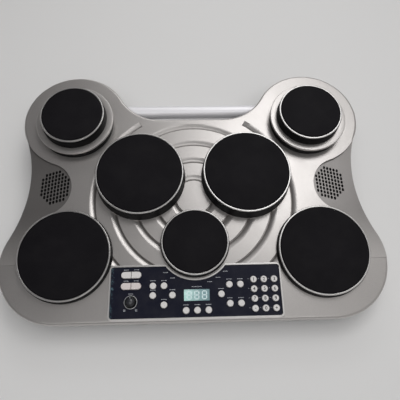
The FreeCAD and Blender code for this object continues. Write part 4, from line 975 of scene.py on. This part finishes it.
# Jack rings: a thin plated washer in the mouth of each rear jack.
# They are the same rolled steel as the screws, turned with a small bevel.
jack_places = (-0.036, -0.012, 0.012)
jack_y = 0.1509
jack_drop = 0.058
ring_bore = 0.0034
ring_edge = 0.0050
ring_thick = 0.0005
ring_bevel = 0.0002
ring_segments = 48
for n, jack_x in enumerate(jack_places):
    mouth = deck_origin + deck_turn @ Vector((jack_x, jack_y, -jack_drop))
    outline = [
        (ring_bore, 0, 0),
        (ring_edge, 0, 0),
        (ring_edge, 0, ring_thick - ring_bevel),
        (ring_edge - ring_bevel, 0, ring_thick),
        (ring_bore + ring_bevel, 0, ring_thick),
        (ring_bore, 0, ring_thick - ring_bevel),
        (ring_bore, 0, 0),
    ]
    outward = deck_turn.to_4x4() @ Matrix.Rotation(-math.pi / 2, 4, "X")
    ring = grow("jack_ring_%d" % (n + 1), turning_tree, outline, Matrix.Translation(mouth) @ outward, {
        "Segments": ring_segments, "Material": rolled_steel})
    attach(ring, "kit")

# The rubber is black and dull, and grey with dust from the table.
foot_black = (0.022, 0.022, 0.022, 1)
foot_dusty = (0.07, 0.068, 0.066, 1)
foot_rubber, tree, shader = surface("foot_rubber", roughness=0.8)
mottled(tree, shader, foot_black, foot_dusty, size=0.004, detail=5.0, roughness=0.7)
dress(foot_rubber, "rubber_feet")

# Soft boxes hang above it, and the camera stands where the photograph was taken from.
floor_reach = 4.5
floor_sides = 96
floor_edge = []
for n in range(floor_sides):
    angle = math.tau * n / floor_sides
    floor_edge.append((floor_reach * math.cos(angle), floor_reach * math.sin(angle), 0))
floor_mesh = bpy.data.meshes.new("floor")
floor_mesh.from_pydata(floor_edge, [], [tuple(range(floor_sides))])
floor_colour = (0.76, 0.755, 0.75, 1)
floor_pale, tree, shader = surface("floor_pale", base_color=floor_colour, roughness=0.9)
floor_mesh.materials.append(floor_pale)
floor = bpy.data.objects.new("floor", floor_mesh)
bpy.context.scene.collection.objects.link(floor)

world = bpy.data.worlds.new("studio")
bpy.context.scene.world = world
world.use_nodes = True
sky = world.node_tree
sky_back = sky.nodes["Background"]
left_dim = (0.07, 0.068, 0.07, 1)
right_bright = (0.34, 0.335, 0.33, 1)
horizon = (0.36, 0.36, 0.36, 1)
aim = add(sky, "ShaderNodeSeparateXYZ", {0: add(sky, "ShaderNodeTexCoord").outputs["Generated"]})
rightward = step_between(sky, aim.outputs["X"], low=-0.44, high=0.42)
overhead = blend_colours(sky, rightward, left_dim, right_bright)
dome = blend_colours(sky, step_between(sky, aim.outputs["Z"], low=0.0, high=0.5), horizon, overhead)
sky.links.new(dome, sky_back.inputs["Color"])
sky_back.inputs["Strength"].default_value = 1.0


def soft_box(name, place, target, size, power, mirrored=True):
    """A flat lamp that looks from its place at the target, and shows in gloss where it is mirrored."""
    light = bpy.data.lights.new(name, "AREA")
    light.shape = "RECTANGLE"
    light.size, light.size_y = size
    light.energy = power
    holder = bpy.data.objects.new(name, light)
    holder.location = place
    holder.visible_glossy = mirrored
    holder.rotation_euler = (Vector(target) - Vector(place)).to_track_quat("-Z", "Y").to_euler()
    bpy.context.scene.collection.objects.link(holder)


soft_box("key_box", place=(0.43, 0.56, 1.5), target=(0.05, 0.0, 0.05),
         size=(0.7, 0.7), power=4.2)
soft_box("fill_box", place=(0.1, -0.2, 1.9), target=(0.0, 0.0, 0.05),
         size=(2.0, 2.0), power=14.0, mirrored=False)
soft_box("rear_box", place=(0.15, 1.3, 1.2), target=(0.0, 0.15, 0.05),
         size=(1.0, 0.4), power=3.0)
soft_box("front_box", place=(0.0, -0.75, 1.5), target=(0.0, 0.0, 0.05),
         size=(1.4, 0.35), power=3.0)

camera_place = Vector((-0.00782, -0.30204, 0.64206))
camera_dip = math.radians(64.517)
camera_turn = math.radians(-3.648)
camera_roll = math.radians(2.261)
frame_width = 400.0
focal_pixels = 404.17
sensor = 36.0
eye = bpy.data.cameras.new("camera")
eye.sensor_width = sensor
eye.lens = focal_pixels / frame_width * sensor
eye.clip_start = 0.01
camera = bpy.data.objects.new("camera", eye)
bpy.context.scene.collection.objects.link(camera)
aimed = Matrix.Rotation(camera_turn, 4, "Z") @ Matrix.Rotation(math.pi / 2 - camera_dip, 4, "X")
camera.matrix_world = Matrix.Translation(camera_place) @ aimed @ Matrix.Rotation(camera_roll, 4, "Z")
bpy.context.scene.camera = camera
bpy.context.scene.view_settings.view_transform = "Standard"
